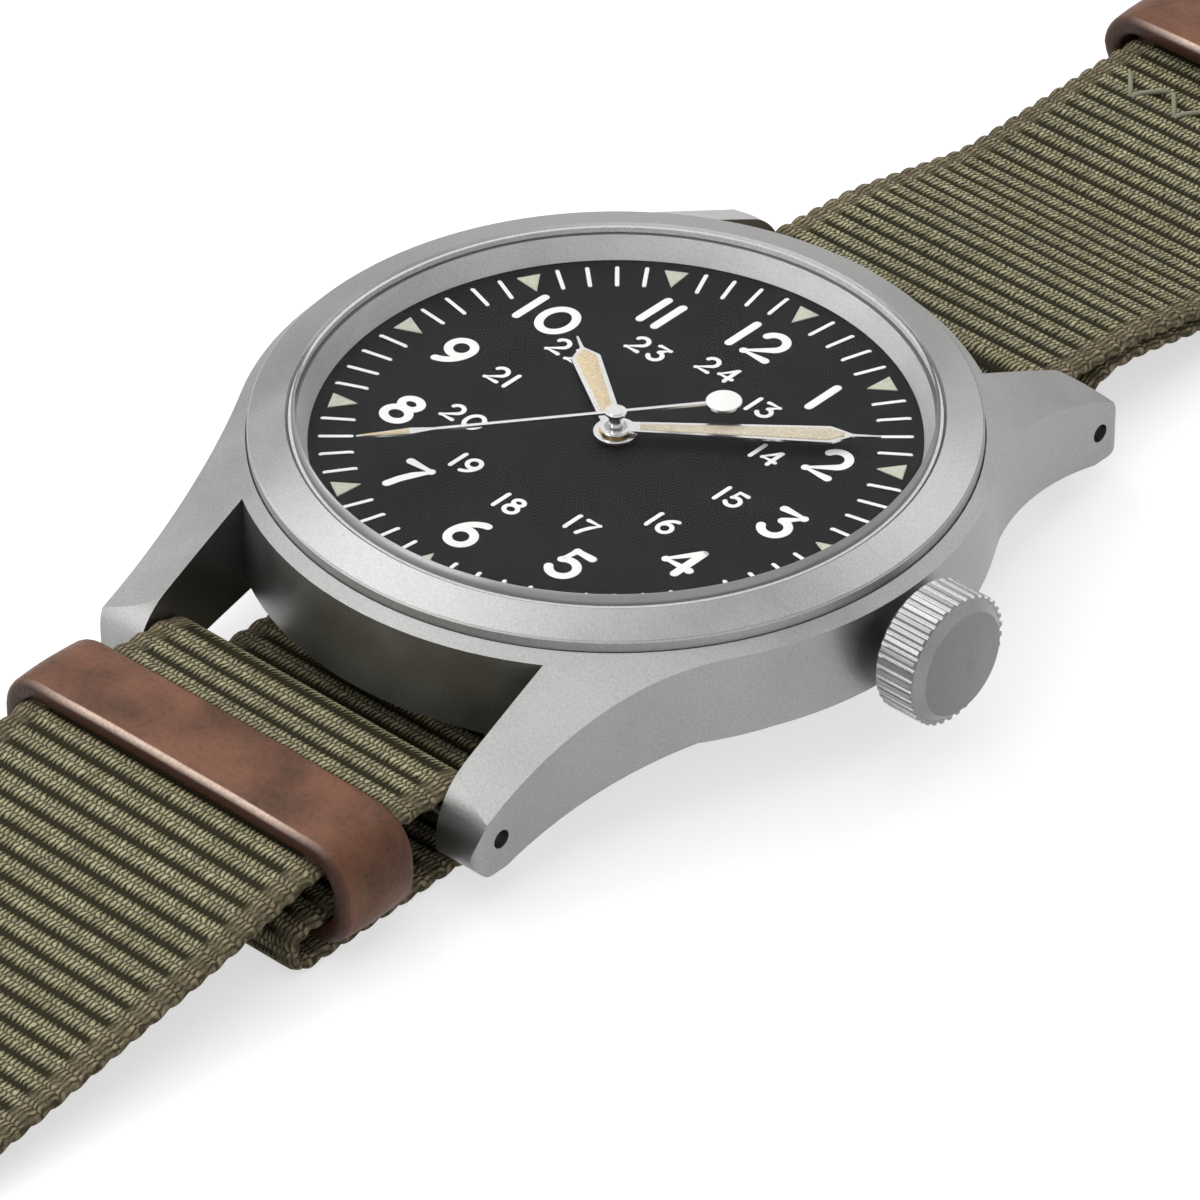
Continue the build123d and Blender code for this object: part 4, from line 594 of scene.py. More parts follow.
@dataclass(frozen=True)
class LeatherFinish(Finish):
    """Brown leather with fine pores and waxy patches, dark cut edges partly in painted shade, and a pale front upper
    edge that is partly burnished and partly a painted highlight.

    The loop's UV map holds the distance from the face's middle, on past its edges, and the place round the loop.

    Attributes:
        dark: The colour in creases and pores.
        light: The colour of the waxed face.
        edge: The colour of the cut edges and underside, partly their own dark colour and partly painted shade.
        burnish: The colour of the front upper edge on the loop's top, partly burnished leather and partly a painted
            highlight.
        half_face: Half the width of the face in millimetres, past which the cut edge starts.
    """

    dark: Colour
    light: Colour
    edge: Colour
    burnish: Colour
    half_face: float

    def fill(self, tree: Tree, shader: bpy.types.Node) -> None:
        """Lays the waxed face, then the cut edges with their painted shade, then the pale front upper edge, partly
        burnished and partly a painted highlight.

        Args:
            tree: The material's tree.
            shader: Its Principled shader.
        """
        wear = placed(tree, wear_group(), Smudge_Size=3.2, Grain_Size=0.16)
        smudge, grain = wear.outputs["Smudge"], wear.outputs["Grain"]
        pore_size, pore_span, pore_share = 0.34, (0.15, 0.6), 0.25
        cut_span, highlight_starts, highlight_ends, top_span = (-0.1, 0.2), (-0.2, 0.02), (0.08, 0.3), (0.12, 0.2)
        pores = tree.add("TexVoronoi", Vector=tree.place(), Scale=1 / (pore_size * MM))
        pore = tree.ramp(pores.outputs["Distance"], *pore_span)
        waxed = tree.times(tree.ramp(smudge, *NARROW), 1 - pore_share)
        tone = tree.maths("ADD", waxed, tree.times(pore, pore_share))
        u, round_loop = tree.unrolled()
        from_middle = tree.maths("DIVIDE", u, MM)
        # The cut edges and underside take the edge colour: their own dark colour, deepened as painted shade.
        at_edge = tree.ramp(tree.maths("ABSOLUTE", from_middle), *(self.half_face + reach for reach in cut_span))
        cut = tree.mix(at_edge, tree.mix(tone, self.dark, self.light), self.edge)
        # A pale line along the front upper edge, on the loop's top only: partly burnished leather, partly a painted
        # highlight.
        front = tree.times(from_middle, -1.0)
        starts = tree.ramp(front, *(self.half_face + reach for reach in highlight_starts))
        ends = tree.ramp(front, *(self.half_face + reach for reach in highlight_ends), 1.0, 0.0)
        from_top = tree.maths("ABSOLUTE", tree.maths("SUBTRACT", round_loop, 0.5))
        on_top = tree.ramp(from_top, *top_span, 1.0, 0.0)
        highlight_mask = tree.times(starts, ends, on_top, tree.ramp(grain, 0.3, 0.6, 0.7, 1.0))
        tree.fill(
            shader,
            Base_Color=tree.mix(highlight_mask, cut, self.burnish),
            Roughness=tree.ramp(smudge, *MIDDLE, 0.58, 0.42),
            Specular_IOR_Level=0.3,
            Normal=tree.bump(0.02, tree.maths("ADD", tree.times(pore, 0.6), grain)),
        )


# The rehaut is made brighter than the bezel's steel as painted light; its higher roughness is its blasting.
REHAUT = Zone(Measure.RADIUS, 0.0, 16.1, 1.5, 0.6)
# The crown's chamfer and face are darker than its fluted side as painted shade.
CROWN_CHAMFER = Zone(Measure.ACROSS, 22.1, 22.56, 0.75, 0.36)
CROWN_FACE = Zone(Measure.ACROSS, 22.56, 30.0, 0.57, 0.42)
BEZEL_WALL = Zone(Measure.RADIUS, 18.14, 19.0, 1.25, 0.55)
CASE_STEEL = MetalFinish("blasted_case_steel", (0.3, 0.3, 0.295), 0.38, 0.11, 0.008, mottle=0.2)
BEZEL_STEEL = MetalFinish(
    "blasted_bezel_steel", (0.28, 0.28, 0.276), 0.34, 0.11, 0.008, mottle=0.2, zones=(REHAUT, BEZEL_WALL)
)
CROWN_STEEL = MetalFinish(
    "satin_crown_steel", (0.34, 0.34, 0.336), 0.36, 0.09, 0.003, mottle=0.2, zones=(CROWN_CHAMFER, CROWN_FACE)
)
BACK_STEEL = MetalFinish("turned_back_steel", (0.36, 0.36, 0.355), 0.26, 0.16, 0.003, (1, 1, 6))
BUCKLE_STEEL = MetalFinish("satin_buckle_steel", (0.36, 0.36, 0.355), 0.3, 0.14, 0.004, (0.2, 1, 1))
BAR_STEEL = MetalFinish("drawn_bar_steel", (0.33, 0.33, 0.33), 0.25, 0.1, 0.002, (0.1, 1, 1))
HAND_STEEL = MetalFinish("bright_hand_steel", (0.72, 0.72, 0.71), 0.2, 0.08, 0.001)
PLATE_NICKEL = MetalFinish("plated_movement_nickel", (0.66, 0.63, 0.58), 0.24, 0.2, 0.003, (0.2, 3, 1))
GEAR_BRASS = MetalFinish("gilt_gear_brass", (0.72, 0.52, 0.24), 0.22, 0.1, 0.002)
MOVEMENT_STEEL = MetalFinish("hardened_movement_steel", (0.42, 0.42, 0.44), 0.2, 0.08, 0.001)
SPRING_STEEL = MetalFinish("blued_spring_steel", (0.2, 0.24, 0.38), 0.22, 0.06, 0.001)
DIAL_BLACK = PaintFinish("matte_dial_black", (0.005, 0.005, 0.0055), 0.5, 0.07, 0.004, 0.25, 0.07)
PRINT_WHITE = PaintFinish("printed_numeral_white", (0.88, 0.88, 0.86), 0.5, 0.08, 0.003, 0.05, 0.2)
LUME_CREAM = PaintFinish("aged_marker_lume", (0.53, 0.545, 0.44), 0.7, 0.12, 0.01, 0.12, 0.2)
LUME_TAN = PaintFinish("aged_hour_lume", (0.65, 0.53, 0.355), 0.7, 0.12, 0.012, 0.14, 0.2)
LUME_SAND = PaintFinish("aged_minute_lume", (0.6, 0.53, 0.41), 0.7, 0.12, 0.012, 0.14, 0.2)
DISC_WHITE = PaintFinish("painted_seconds_white", (0.85, 0.85, 0.83), 0.4, 0.1, 0.001, 0.03)
GASKET_RUBBER = PaintFinish("black_gasket_rubber", (0.02, 0.02, 0.021), 0.55, 0.15, 0.004, 0.2)
# The crystal seal is pale grey so that the shaded gap under the crystal renders light: painted light.
CRYSTAL_SEAL = PaintFinish("pale_crystal_seal_painted_light", (0.68, 0.68, 0.67), 0.4, 0.15, 0.002, 0.1)
RING_PLASTIC = PaintFinish("movement_ring_plastic", (0.1, 0.1, 0.105), 0.45, 0.25, 0.005, 0.12)
# The first colour is near black: painted shade between ribs and threads.
WEBBING_GROOVE_SHADE, WEBBING_LIGHT = (0.018, 0.015, 0.0045), (0.5, 0.46, 0.285)
TAIL_WEBBING = WebbingFinish("olive_tail_webbing", WEBBING_GROOVE_SHADE, WEBBING_LIGHT, 1.32)
BUCKLE_WEBBING = WebbingFinish("olive_buckle_webbing", WEBBING_GROOVE_SHADE, WEBBING_LIGHT, 1.24)
STITCH_THREAD = PaintFinish("pale_stitch_thread", (0.23, 0.225, 0.155), 0.75, 0.08, 0.02, 0.2)
# The dark edge colour is partly painted shade, and the pale upper-edge colour is partly a painted highlight.
KEEPER_LEATHER = LeatherFinish(
    "brown_keeper_leather",
    dark=(0.06, 0.022, 0.009),
    light=(0.175, 0.068, 0.032),
    edge=(0.04, 0.015, 0.008),
    burnish=(0.72, 0.54, 0.44),
    half_face=2.4,
)
CRYSTAL_GLASS = GlassFinish("coated_crystal", 0.14)
CRYSTAL_BEVEL = BevelFinish("ground_crystal_bevel", (0.23, 0.23, 0.235), (0.29, 0.29, 0.295))

# The CAD nodes of each finish; the movement's other nodes are plain steel.
CAD_FINISHES: dict[Finish, tuple[str, ...]] = {
    CASE_STEEL: ("mid_case",),
    BEZEL_STEEL: ("bezel",),
    CRYSTAL_GLASS: ("crystal",),
    CRYSTAL_SEAL: ("crystal_gasket",),
    BACK_STEEL: ("case_back",),
    CROWN_STEEL: ("crown",),
    GASKET_RUBBER: ("case_back_gasket", "crown_gasket"),
    DIAL_BLACK: ("dial",),
    RING_PLASTIC: ("movement_ring",),
    HAND_STEEL: ("hour_hand", "minute_hand", "seconds_hand"),
    BUCKLE_STEEL: ("buckle_frame", "buckle_tongue"),
    BAR_STEEL: (
        "crown_tube",
        "buckle_bar",
        "spring_bar_tubes",
        *(f"spring_bar_tip_{hour}_{side}" for hour in (12, 6) for side in ("right", "left")),
    ),
    SPRING_STEEL: ("spring_bar_springs", "hairspring", "mainspring"),
    PLATE_NICKEL: ("main_plate", "barrel_bridge", "train_bridge", "balance_cock", "pallet_bridge"),
    GEAR_BRASS: (
        "mainspring_barrel",
        "centre_wheel",
        "third_wheel",
        "fourth_wheel",
        "minute_wheel",
        "hour_wheel",
        "balance_wheel",
    ),
}


# Mesh helpers


def as_object(name: str, shape: bmesh.types.BMesh, material: bpy.types.Material) -> bpy.types.Object:
    """Makes an object of a finished mesh.

    Args:
        name: The piece's name.
        shape: The mesh, in metres in the row frame, freed here.
        material: Its finish.

    Returns:
        The new object, at the origin.
    """
    for face in shape.faces:
        face.smooth = True
    mesh = bpy.data.meshes.new(name)
    shape.to_mesh(mesh)
    shape.free()
    mesh.materials.append(material)
    piece = bpy.data.objects.new(name, mesh)
    bpy.context.scene.collection.objects.link(piece)
    mesh.set_sharp_from_angle(angle=SHARP_FACES)
    return piece


def finished(piece: bpy.types.Object, body: str, slot: str, *nodes: str) -> None:
    """Puts a piece on its body and hides the nodes that it replaces.

    Args:
        piece: The piece.
        body: The body that carries it.
        slot: Not used.
        *nodes: The nodes that it replaces.
    """
    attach(piece, body)
    if nodes:
        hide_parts(*nodes)
    LOG.info("%s rides on %s", piece.name, body)


def clock_way(degrees: float) -> Vector:
    """The direction of a clock angle on the dial."""
    angle = math.radians(degrees)
    return Vector((math.sin(angle), math.cos(angle)))


def arc(centre: Point, radii: Point, start: float, end: float, steps: int) -> list[Point]:
    """Points on an ellipse's arc.

    Args:
        centre: The middle of the ellipse.
        radii: Its half width and half height.
        start: The first angle in degrees.
        end: The last angle in degrees.
        steps: How many runs the arc has.

    Returns:
        The points in order.
    """
    angles = [math.radians(start + (end - start) * i / steps) for i in range(steps + 1)]
    return [(centre[0] + radii[0] * math.cos(a), centre[1] + radii[1] * math.sin(a)) for a in angles]


def extruded(shape: bmesh.types.BMesh, faces: Sequence[bmesh.types.BMFace], height: float) -> list[bmesh.types.BMVert]:
    """Raises a solid from flat faces.

    Args:
        shape: The mesh.
        faces: Its flat faces.
        height: The solid's height.

    Returns:
        The vertices of its upper side.
    """
    made = bmesh.ops.extrude_face_region(shape, geom=faces)["geom"]
    upper = [item for item in made if isinstance(item, bmesh.types.BMVert)]
    bmesh.ops.translate(shape, verts=upper, vec=(0, 0, height))
    return upper


def soften(shape: bmesh.types.BMesh, upper: Callable[[bmesh.types.BMVert], bool], width: float) -> None:
    """Rounds off every edge whose vertices are all upper ones.

    Args:
        shape: The mesh.
        upper: Says of a vertex whether it is an upper one.
        width: The width of the rounding.
    """
    rim = [edge for edge in shape.edges if all(upper(vert) for vert in edge.verts)]
    bmesh.ops.bevel(
        shape, geom=rim, offset=width, offset_type="OFFSET", affect="EDGES", segments=2, profile=0.5, material=-1
    )


def add_plate(shape: bmesh.types.BMesh, corners: Sequence[Sequence[float]], height: float, rounding: float) -> None:
    """Adds a flat plate with a rounded upper edge.

    Args:
        shape: The mesh that gets it.
        corners: The corners of its foot.
        height: Its height.
        rounding: The width of the rounding.
    """
    foot = shape.faces.new([shape.verts.new(corner) for corner in corners])
    upper = extruded(shape, [foot], height)
    soften(shape, lambda vert: vert in upper, rounding)


def round_lines(lines: Sequence[Sequence[Sequence[float]]], radius: float, resolution: int) -> bmesh.types.BMesh:
    """Makes round threads along lines.

    Args:
        lines: The points (x, y, z) of each line. One that ends where it starts becomes a ring.
        radius: The threads' radius.
        resolution: How finely they are rounded.

    Returns:
        The mesh.
    """
    curve = bpy.data.curves.new("round_lines", "CURVE")
    curve.dimensions = "3D"
    curve.bevel_depth, curve.bevel_resolution = radius, resolution
    for line in lines:
        closed = is_ring(line)
        run = line[:-1] if closed else line
        spline = curve.splines.new("POLY")
        spline.points.add(len(run) - 1)
        for point, place in zip(spline.points, run):
            point.co = (*place, 1)
        spline.use_cyclic_u = closed
    holder = bpy.data.objects.new("round_lines", curve)
    mesh = bpy.data.meshes.new_from_object(holder)
    shape = bmesh.new()
    shape.from_mesh(mesh)
    bpy.data.objects.remove(holder)
    bpy.data.meshes.remove(mesh)
    return shape


def is_ring(line: Sequence[Sequence[float]]) -> bool:
    """Whether a line ends where it starts."""
    return math.dist(line[0], line[-1]) < SAME_PLACE


def unwrap(shape: bmesh.types.BMesh, place_of: Callable[[bmesh.types.BMVert], Point]) -> None:
    """Gives a mesh its UV map.

    Args:
        shape: The mesh.
        place_of: What gives each vertex its place on the map.
    """
    layer = shape.loops.layers.uv.new("UVMap")
    for face in shape.faces:
        for loop in face.loops:
            loop[layer].uv = place_of(loop.vert)


def grid_place(vert: bmesh.types.BMVert, columns: int) -> tuple[int, float]:
    """The column of a new grid's vertex, and how far along the rows it lies, from 0 to 1."""
    return round((vert.co.x + 1) / 2 * columns), (vert.co.y + 1) / 2


class BandRoute:
    """The side view of a band: a line in Y and Z with rounded corners, read by distance along it."""

    step = 0.05
    smoothing = 4
    straight = math.radians(89.9)
    turn_step = math.radians(3)

    def __init__(self, points: Sequence[Point], radii: Sequence[float]) -> None:
        """Rounds the corners and walks the line.

        Args:
            points: The corners (y, z) in millimetres.
            radii: The radius at each inner corner.
        """
        corners = [Vector(p) for p in points]
        line = [corners[0]]
        for before, corner, after, radius in zip(corners, corners[1:], corners[2:], radii):
            line += self.rounded(before, corner, after, radius)
        line.append(corners[-1])
        self.places: list[Vector] = [line[0]]
        for start, end in zip(line, line[1:]):
            count = max(1, round((end - start).length / self.step))
            self.places += [start.lerp(end, (i + 1) / count) for i in range(count)]
        self.reached = [0.0]
        for start, end in zip(self.places, self.places[1:]):
            self.reached.append(self.reached[-1] + (end - start).length)

    @classmethod
    def rounded(cls, before: Vector, corner: Vector, after: Vector, radius: float) -> list[Vector]:
        """The points of one rounded corner.

        Args:
            before: The corner before it.
            corner: The sharp corner.
            after: The corner after it.
            radius: The radius of the rounding.

        Returns:
            The arc's points.
        """
        back, on = (before - corner).normalized(), (after - corner).normalized()
        half = back.angle(on) / 2
        if half > cls.straight:
            return [corner]
        reach = radius / math.tan(half)
        middle = corner + (back + on).normalized() * radius / math.sin(half)
        first, last = corner + back * reach - middle, corner + on * reach - middle
        turn = first.angle_signed(last)
        count = max(2, round(abs(turn) / cls.turn_step))
        return [middle + Matrix.Rotation(-turn * i / count, 2) @ first for i in range(count + 1)]

    @property
    def length(self) -> float:
        """The length of the line in millimetres."""
        return self.reached[-1]

    def at(self, distance: float) -> tuple[Vector, Vector]:
        """The place and the left-hand normal at a distance.

        Args:
            distance: How far along the line, in millimetres.

        Returns:
            The place (y, z) and the unit normal to its left.
        """
        last = len(self.reached) - 1
        low = min(max(bisect.bisect_right(self.reached, distance) - 1, 0), last - 1)
        high = low + 1
        span = self.reached[high] - self.reached[low]
        share = (distance - self.reached[low]) / span if span > 0 else 0.0
        ahead = self.places[min(high + self.smoothing, last)] - self.places[max(low - self.smoothing, 0)]
        direction = ahead.normalized()
        return self.places[low].lerp(self.places[high], share), Vector((-direction.y, direction.x))

    def distance_at_y(self, y: float) -> float:
        """The distance along the line of the place nearest to y."""
        nearest = min(range(len(self.places)), key=lambda i: abs(self.places[i].x - y))
        return self.reached[nearest]


@dataclass
class RibbedBand:
    """A stretch of ribbed webbing, made flat, then laid along its route.

    Attributes:
        finish: Its webbing, which sets the distance from rib to rib.
        width: The width in millimetres.
        thickness: The thickness in millimetres.
        rise: How far a rib's crest stands over the band's face.
        sink: How deep the groove between ribs is.
        scallop: How far a groove draws the edge in.
        swell: How far the middle of the edge stands out.
        edge_drop: How far both faces fall towards each other at the edge.
        rows_per_rib: How many rows of faces a rib has.
        columns: The distances from the middle of its lines of vertices, up to the edge.
    """

    finish: WebbingFinish
    width: float = 19.6
    thickness: float = 0.8
    rise: float = 0.05
    sink: float = 0.2
    scallop: float = 0.045
    swell: float = 0.08
    edge_drop: float = 0.16
    rows_per_rib: int = 6
    columns: tuple[float, ...] = (0, 0.3, 0.6, 0.9, 1.2, 1.5, 2.6, 4.0, 5.5, 7.0, 8.2, 9.0, 9.45)

    def crest(self, distance: float) -> float:
        """How near a place along the band is to a rib's crest, from 0 to 1."""
        return abs(math.sin(math.pi * distance / self.finish.rib_pitch)) ** 0.6

    def build(
        self,
        name: str,
        route: BandRoute,
        end_radius: float = 0.0,
        holes: Sequence[tuple[float, float]] = (),
        slot: tuple[float, float, float] | None = None,
    ) -> bpy.types.Object:
        """Makes the band.

        Args:
            name: The piece's name.
            route: The line of the band's inner face.
            end_radius: The radius of the corners at the route's start.
            holes: The distance and radius of each round hole.
            slot: The half width and the first and last distance of a slot.

        Returns:
            The new object.
        """
        half_w = self.width / 2
        half = [*self.columns, half_w]
        across = [-x for x in reversed(half[1:])] + half
        rows = max(2, round(route.length / self.finish.rib_pitch * self.rows_per_rib))
        shape = bmesh.new()
        bmesh.ops.create_grid(shape, x_segments=len(across) - 1, y_segments=rows, size=1)
        for vert in shape.verts:
            column, share = grid_place(vert, len(across) - 1)
            distance = share * route.length
            shrink = 1.0
            if distance < end_radius:
                inset = end_radius - math.sqrt(end_radius**2 - (end_radius - distance) ** 2)
                shrink = (half_w - inset) / half_w
            vert.co = Vector((across[column] * shrink, distance, 0))
        self.punch(shape, holes, slot)
        extruded(shape, shape.faces[:], self.thickness)
        upright = [e for e in shape.edges if abs(e.verts[0].co.z - e.verts[1].co.z) > self.thickness / 2]
        bmesh.ops.subdivide_edges(shape, edges=upright, cuts=1)
        self.shape_ribs(shape)
        unwrap(shape, lambda vert: (vert.co.x * MM, vert.co.y * MM))
        for vert in shape.verts:
            place, normal = route.at(vert.co.y)
            place = place + normal * vert.co.z
            vert.co = Vector((vert.co.x, place.x, place.y)) * MM
        bmesh.ops.recalc_face_normals(shape, faces=shape.faces)
        return as_object(name, shape, self.finish.material())

    @staticmethod
    def punch(
        shape: bmesh.types.BMesh,
        holes: Sequence[tuple[float, float]],
        slot: tuple[float, float, float] | None,
    ) -> None:
        """Cuts the round holes and the slot out of the flat sheet.

        Args:
            shape: The sheet.
            holes: The distance and radius of each round hole.
            slot: The half width and the first and last distance of a slot.
        """
        for distance, radius in holes:
            middle = Vector((0, distance, 0))
            inside = [f for f in shape.faces if (f.calc_center_median() - middle).length < radius]
            rim = {v for f in inside for v in f.verts if any(g not in inside for g in v.link_faces)}
            bmesh.ops.delete(shape, geom=inside, context="FACES")
            for vert in rim:
                vert.co = middle + (vert.co - middle).normalized() * radius
        if slot:
            half, first, last = slot
            middles = {face: face.calc_center_median() for face in shape.faces}
            inside = [face for face, middle in middles.items() if abs(middle.x) < half and first < middle.y < last]
            bmesh.ops.delete(shape, geom=inside, context="FACES")

    def shape_ribs(self, shape: bmesh.types.BMesh) -> None:
        """Raises the ribs on both faces, and rounds and scallops the edges.

        Args:
            shape: The flat band, with a row of vertices half way up its edges.
        """
        half_w = self.width / 2
        drop_from, swell_from, scallop_from = 0.96, 0.9, 0.93
        lower, upper = 0.25, 0.75
        for vert in shape.verts:
            groove = 1 - self.crest(vert.co.y)
            side = vert.co.z / self.thickness
            edge = abs(vert.co.x) / half_w
            rounding = self.edge_drop * max(0.0, (edge - drop_from) / (1 - drop_from))
            if side > upper:
                vert.co.z += self.rise - (self.rise + self.sink) * groove - rounding
            elif side < lower:
                vert.co.z += self.sink * groove + rounding
            elif edge > swell_from:
                vert.co.x *= 1 + self.swell / half_w
            if edge > scallop_from:
                vert.co.x -= math.copysign(self.scallop * groove, vert.co.x)


@dataclass
class Strap:
    """The one-piece webbing strap with its underlay and leather keepers. Lengths are in millimetres.

    Attributes:
        bar_y: The distance of the spring bars from the middle.
        bar_z: The height of the spring bars.
        wrap_r: The radius of the webbing's inner face round a bar.
        thickness: The webbing's thickness.
        gap: The gap between layers.
        crest_y: Where the webbing leaves a bar on its outer side.
        seam: Not used; where a strap half would start to swing and swing whole.
        ramp: Where the webbing under the case rises towards the bar at 12, and the place that it aims for.
        shoulder: Where the upper webbing comes down beyond the bar at 12.
        flat_start: Where it lies flat.
        fold_y: Where it rises to the buckle's bar.
        fold_end: Where the end that is folded round that bar ends.
        buckle_y: The distance of the buckle's bar from the middle.
        buckle_z: The height of the buckle's bar.
        fold_r: The radius of the webbing's inner face round the buckle's bar.
        tongue_half: Half the width of the slot for the tongue.
        soft_bend: The radius of a bend where the webbing lies free.
        fold_bend: The radius of the bends on both sides of the buckle's bar.
        fit: How much smaller a full turn's radius is than the room that it has.
        tail: The free tail, from its tip to the bar at 6.
        tail_bends: The radii of the bends along it.
        tail_corner: The radius of the tip's corners.
        holes: The first hole's distance, the step, the radius and the number of the tail's holes.
        keeper_x: Half the outer width of a keeper.
        keeper_w: How much of the strap's length a keeper covers.
    """

    bar_y: float = 22.18
    bar_z: float = 3.61
    wrap_r: float = 0.95
    thickness: float = 0.8
    gap: float = 0.05
    crest_y: float = 23.08
    seam: tuple[float, float] = (21.6, 24.2)
    ramp: tuple[Point, Point] = ((17.3, 0.0), (26.8, 3.42))
    shoulder: Point = (29.0, 4.1)
    flat_start: Point = (38.0, 2.1)
    fold_y: float = 92.0
    fold_end: Point = (62.0, 2.05)
    buckle_y: float = 98.0
    buckle_z: float = 1.72
    fold_r: float = 0.8
    tongue_half: float = 1.51
    soft_bend: float = 12.0
    fold_bend: float = 6.0
    fit: float = 0.01
    tail: tuple[Point, ...] = ((-172.0, 0.0), (-63.0, 0.0), (-50.0, 1.7), (-38.0, 3.6), (-31.5, 5.0))
    tail_bends: tuple[float, ...] = (60.0, 72.0, 60.0)
    tail_corner: float = 8.0
    holes: tuple[float, float, float, int] = (32.0, 7.0, 1.1, 9)
    keeper_x: float = 11.6
    keeper_w: float = 4.8

    @property
    def wrap_top(self) -> float:
        """The height of the webbing's inner face over a bar."""
        return self.bar_z + self.wrap_r

    @property
    def inner_y(self) -> float:
        """The distance from the middle of the webbing's inner face on a bar's inner side."""
        return self.bar_y - self.wrap_r

    @property
    def under(self) -> float:
        """The height of the upper webbing's lower face where it lies on the second layer."""
        return self.thickness + self.gap

    @property
    def slope(self) -> float:
        """The rise of the webbing towards the bar at 12."""
        (foot_y, foot_z), (top_y, top_z) = self.ramp
        return (top_z - foot_z) / (top_y - foot_y)

    def dress(self) -> None:
        """Makes every soft piece of the strap."""
        self.tail_band(RibbedBand(TAIL_WEBBING))
        self.buckle_band(RibbedBand(BUCKLE_WEBBING))
        self.underlay(RibbedBand(TAIL_WEBBING, rise=0.0, columns=(0, 2.6, 5.5, 8.2, 9.0, 9.45)))
        self.keepers()

    def swing(self, piece: bpy.types.Object, body: str, side: int, *nodes: str) -> None:
        """Bakes a band's placement into its mesh and hides the nodes that it replaces.

        Args:
            piece: The band.
            body: The strap half that the band leads to, named in the log.
            side: Not used.
            *nodes: The nodes that it replaces.
        """
        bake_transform(piece)
        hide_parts(*nodes)
        LOG.info("%s bends from the case to %s", piece.name, body)

    def tail_band(self, band: RibbedBand) -> None:
        """The upper webbing from under the case, over the bar at 6 and out to the tail's tip.

        Args:
            band: How its webbing is made.
        """
        over_bar = [(-self.crest_y, self.wrap_top), (-self.inner_y, self.wrap_top)]
        soft, turn_in = self.soft_bend, 2.2
        route = BandRoute(
            [*self.tail, *over_bar, (-self.inner_y, self.under), (0.0, self.under)],
            [*self.tail_bends, soft, soft, self.wrap_r - self.fit, turn_in],
        )
        first, step, radius, count = self.holes
        holes = [(first + step * i, radius) for i in range(count)]
        piece = band.build("webbing_tail_band", route, end_radius=self.tail_corner, holes=holes)
        self.swing(piece, "strap_tail_side", -1, "webbing_tail_side", "webbing_middle")

    def buckle_band(self, band: RibbedBand) -> None:
        """The upper webbing from under the case, over the bar at 12, round the buckle's bar and back.

        Args:
            band: How its webbing is made.
        """
        corner_y = self.ramp[0][0] - self.under * (math.sqrt(1 + self.slope**2) - 1) / self.slope
        fold_top, fold_floor = self.buckle_z + self.fold_r, self.buckle_z - self.fold_r
        near_y, far_y = self.buckle_y - 2 * self.fold_r, self.buckle_y + self.fold_r
        ramp_bend, turn_up, round_bar = 5.75, 1.0, self.fold_r - self.fit / 2
        over_bar = [self.wrap_r - self.fit, *[self.soft_bend] * 3]
        round_fold = [self.fold_bend] * 2 + [round_bar] * 2 + [self.fold_bend] * 2
        route = BandRoute(
            [
                (0.0, self.under),
                (corner_y, self.under),
                (self.inner_y, self.under + (self.inner_y - corner_y) * self.slope),
                (self.inner_y, self.wrap_top),
                (self.crest_y, self.wrap_top),
                self.shoulder,
                self.flat_start,
                (self.fold_y, self.flat_start[1]),
                (near_y, fold_top),
                (far_y, fold_top),
                (far_y, fold_floor),
                (near_y, fold_floor),
                (self.fold_y, self.fold_end[1]),
                self.fold_end,
            ],
            [ramp_bend, turn_up, *over_bar, *round_fold],
        )
        start, over = route.distance_at_y(self.fold_y), route.distance_at_y(far_y)
        slot = (self.tongue_half, start, 2 * over - start + math.pi * self.fold_r / 2)
        piece = band.build("webbing_buckle_band", route, slot=slot)
        self.swing(piece, "strap_buckle_side", 1, "webbing_buckle_side")

    def underlay(self, band: RibbedBand) -> None:
        """The second layer of webbing under the case, with its folded end and its sewn end.

        Args:
            band: How its webbing is made.
        """
        folded_y, folded_z, folded_end_y = -33.6, 2.9, -25.5
        sewn_end_y, ramp_foot_bend, ramp_top_bend = 58.4, 6.6, 3.0
        folded = BandRoute(
            [(folded_end_y, folded_z), (folded_y, folded_z), (folded_y, 0.0), (0.0, 0.0)],
            [folded_z / 2 - self.fit] * 2,
        )
        piece = band.build("underlay_folded_band", folded)
        self.swing(piece, "strap_tail_side", -1, "underlay_keeper_end", "underlay_middle")
        (shoulder_y, shoulder_z), (flat_y, flat_z) = self.shoulder, self.flat_start
        shoulder = (shoulder_y, shoulder_z - self.under * math.sqrt(1 + self.slope**2))
        sewn = BandRoute(
            [(0.0, 0.0), *self.ramp, shoulder, (flat_y, flat_z - self.under), (sewn_end_y, flat_z - self.under)],
            [ramp_foot_bend, ramp_top_bend, self.soft_bend, self.soft_bend],
        )
        piece = band.build("underlay_sewn_band", sewn)
        self.swing(piece, "strap_buckle_side", 1, "underlay_buckle_side")

    def keepers(self) -> None:
        """The three leather keepers."""
        for name, body, start, low, high in (
            ("lug_keeper", "strap_tail_side", -31.4, 0.85, 7.05),
            ("fixed_keeper", "strap_buckle_side", 51.5, 0.0, 4.85),
            ("free_keeper", "sliding_keeper", 78.0, 0.0, 4.85),
        ):
            loop = LeatherLoop(self.keeper_x, start, start + self.keeper_w, low, high)
            finished(loop.build(name + "_leather"), body, "leather", name)


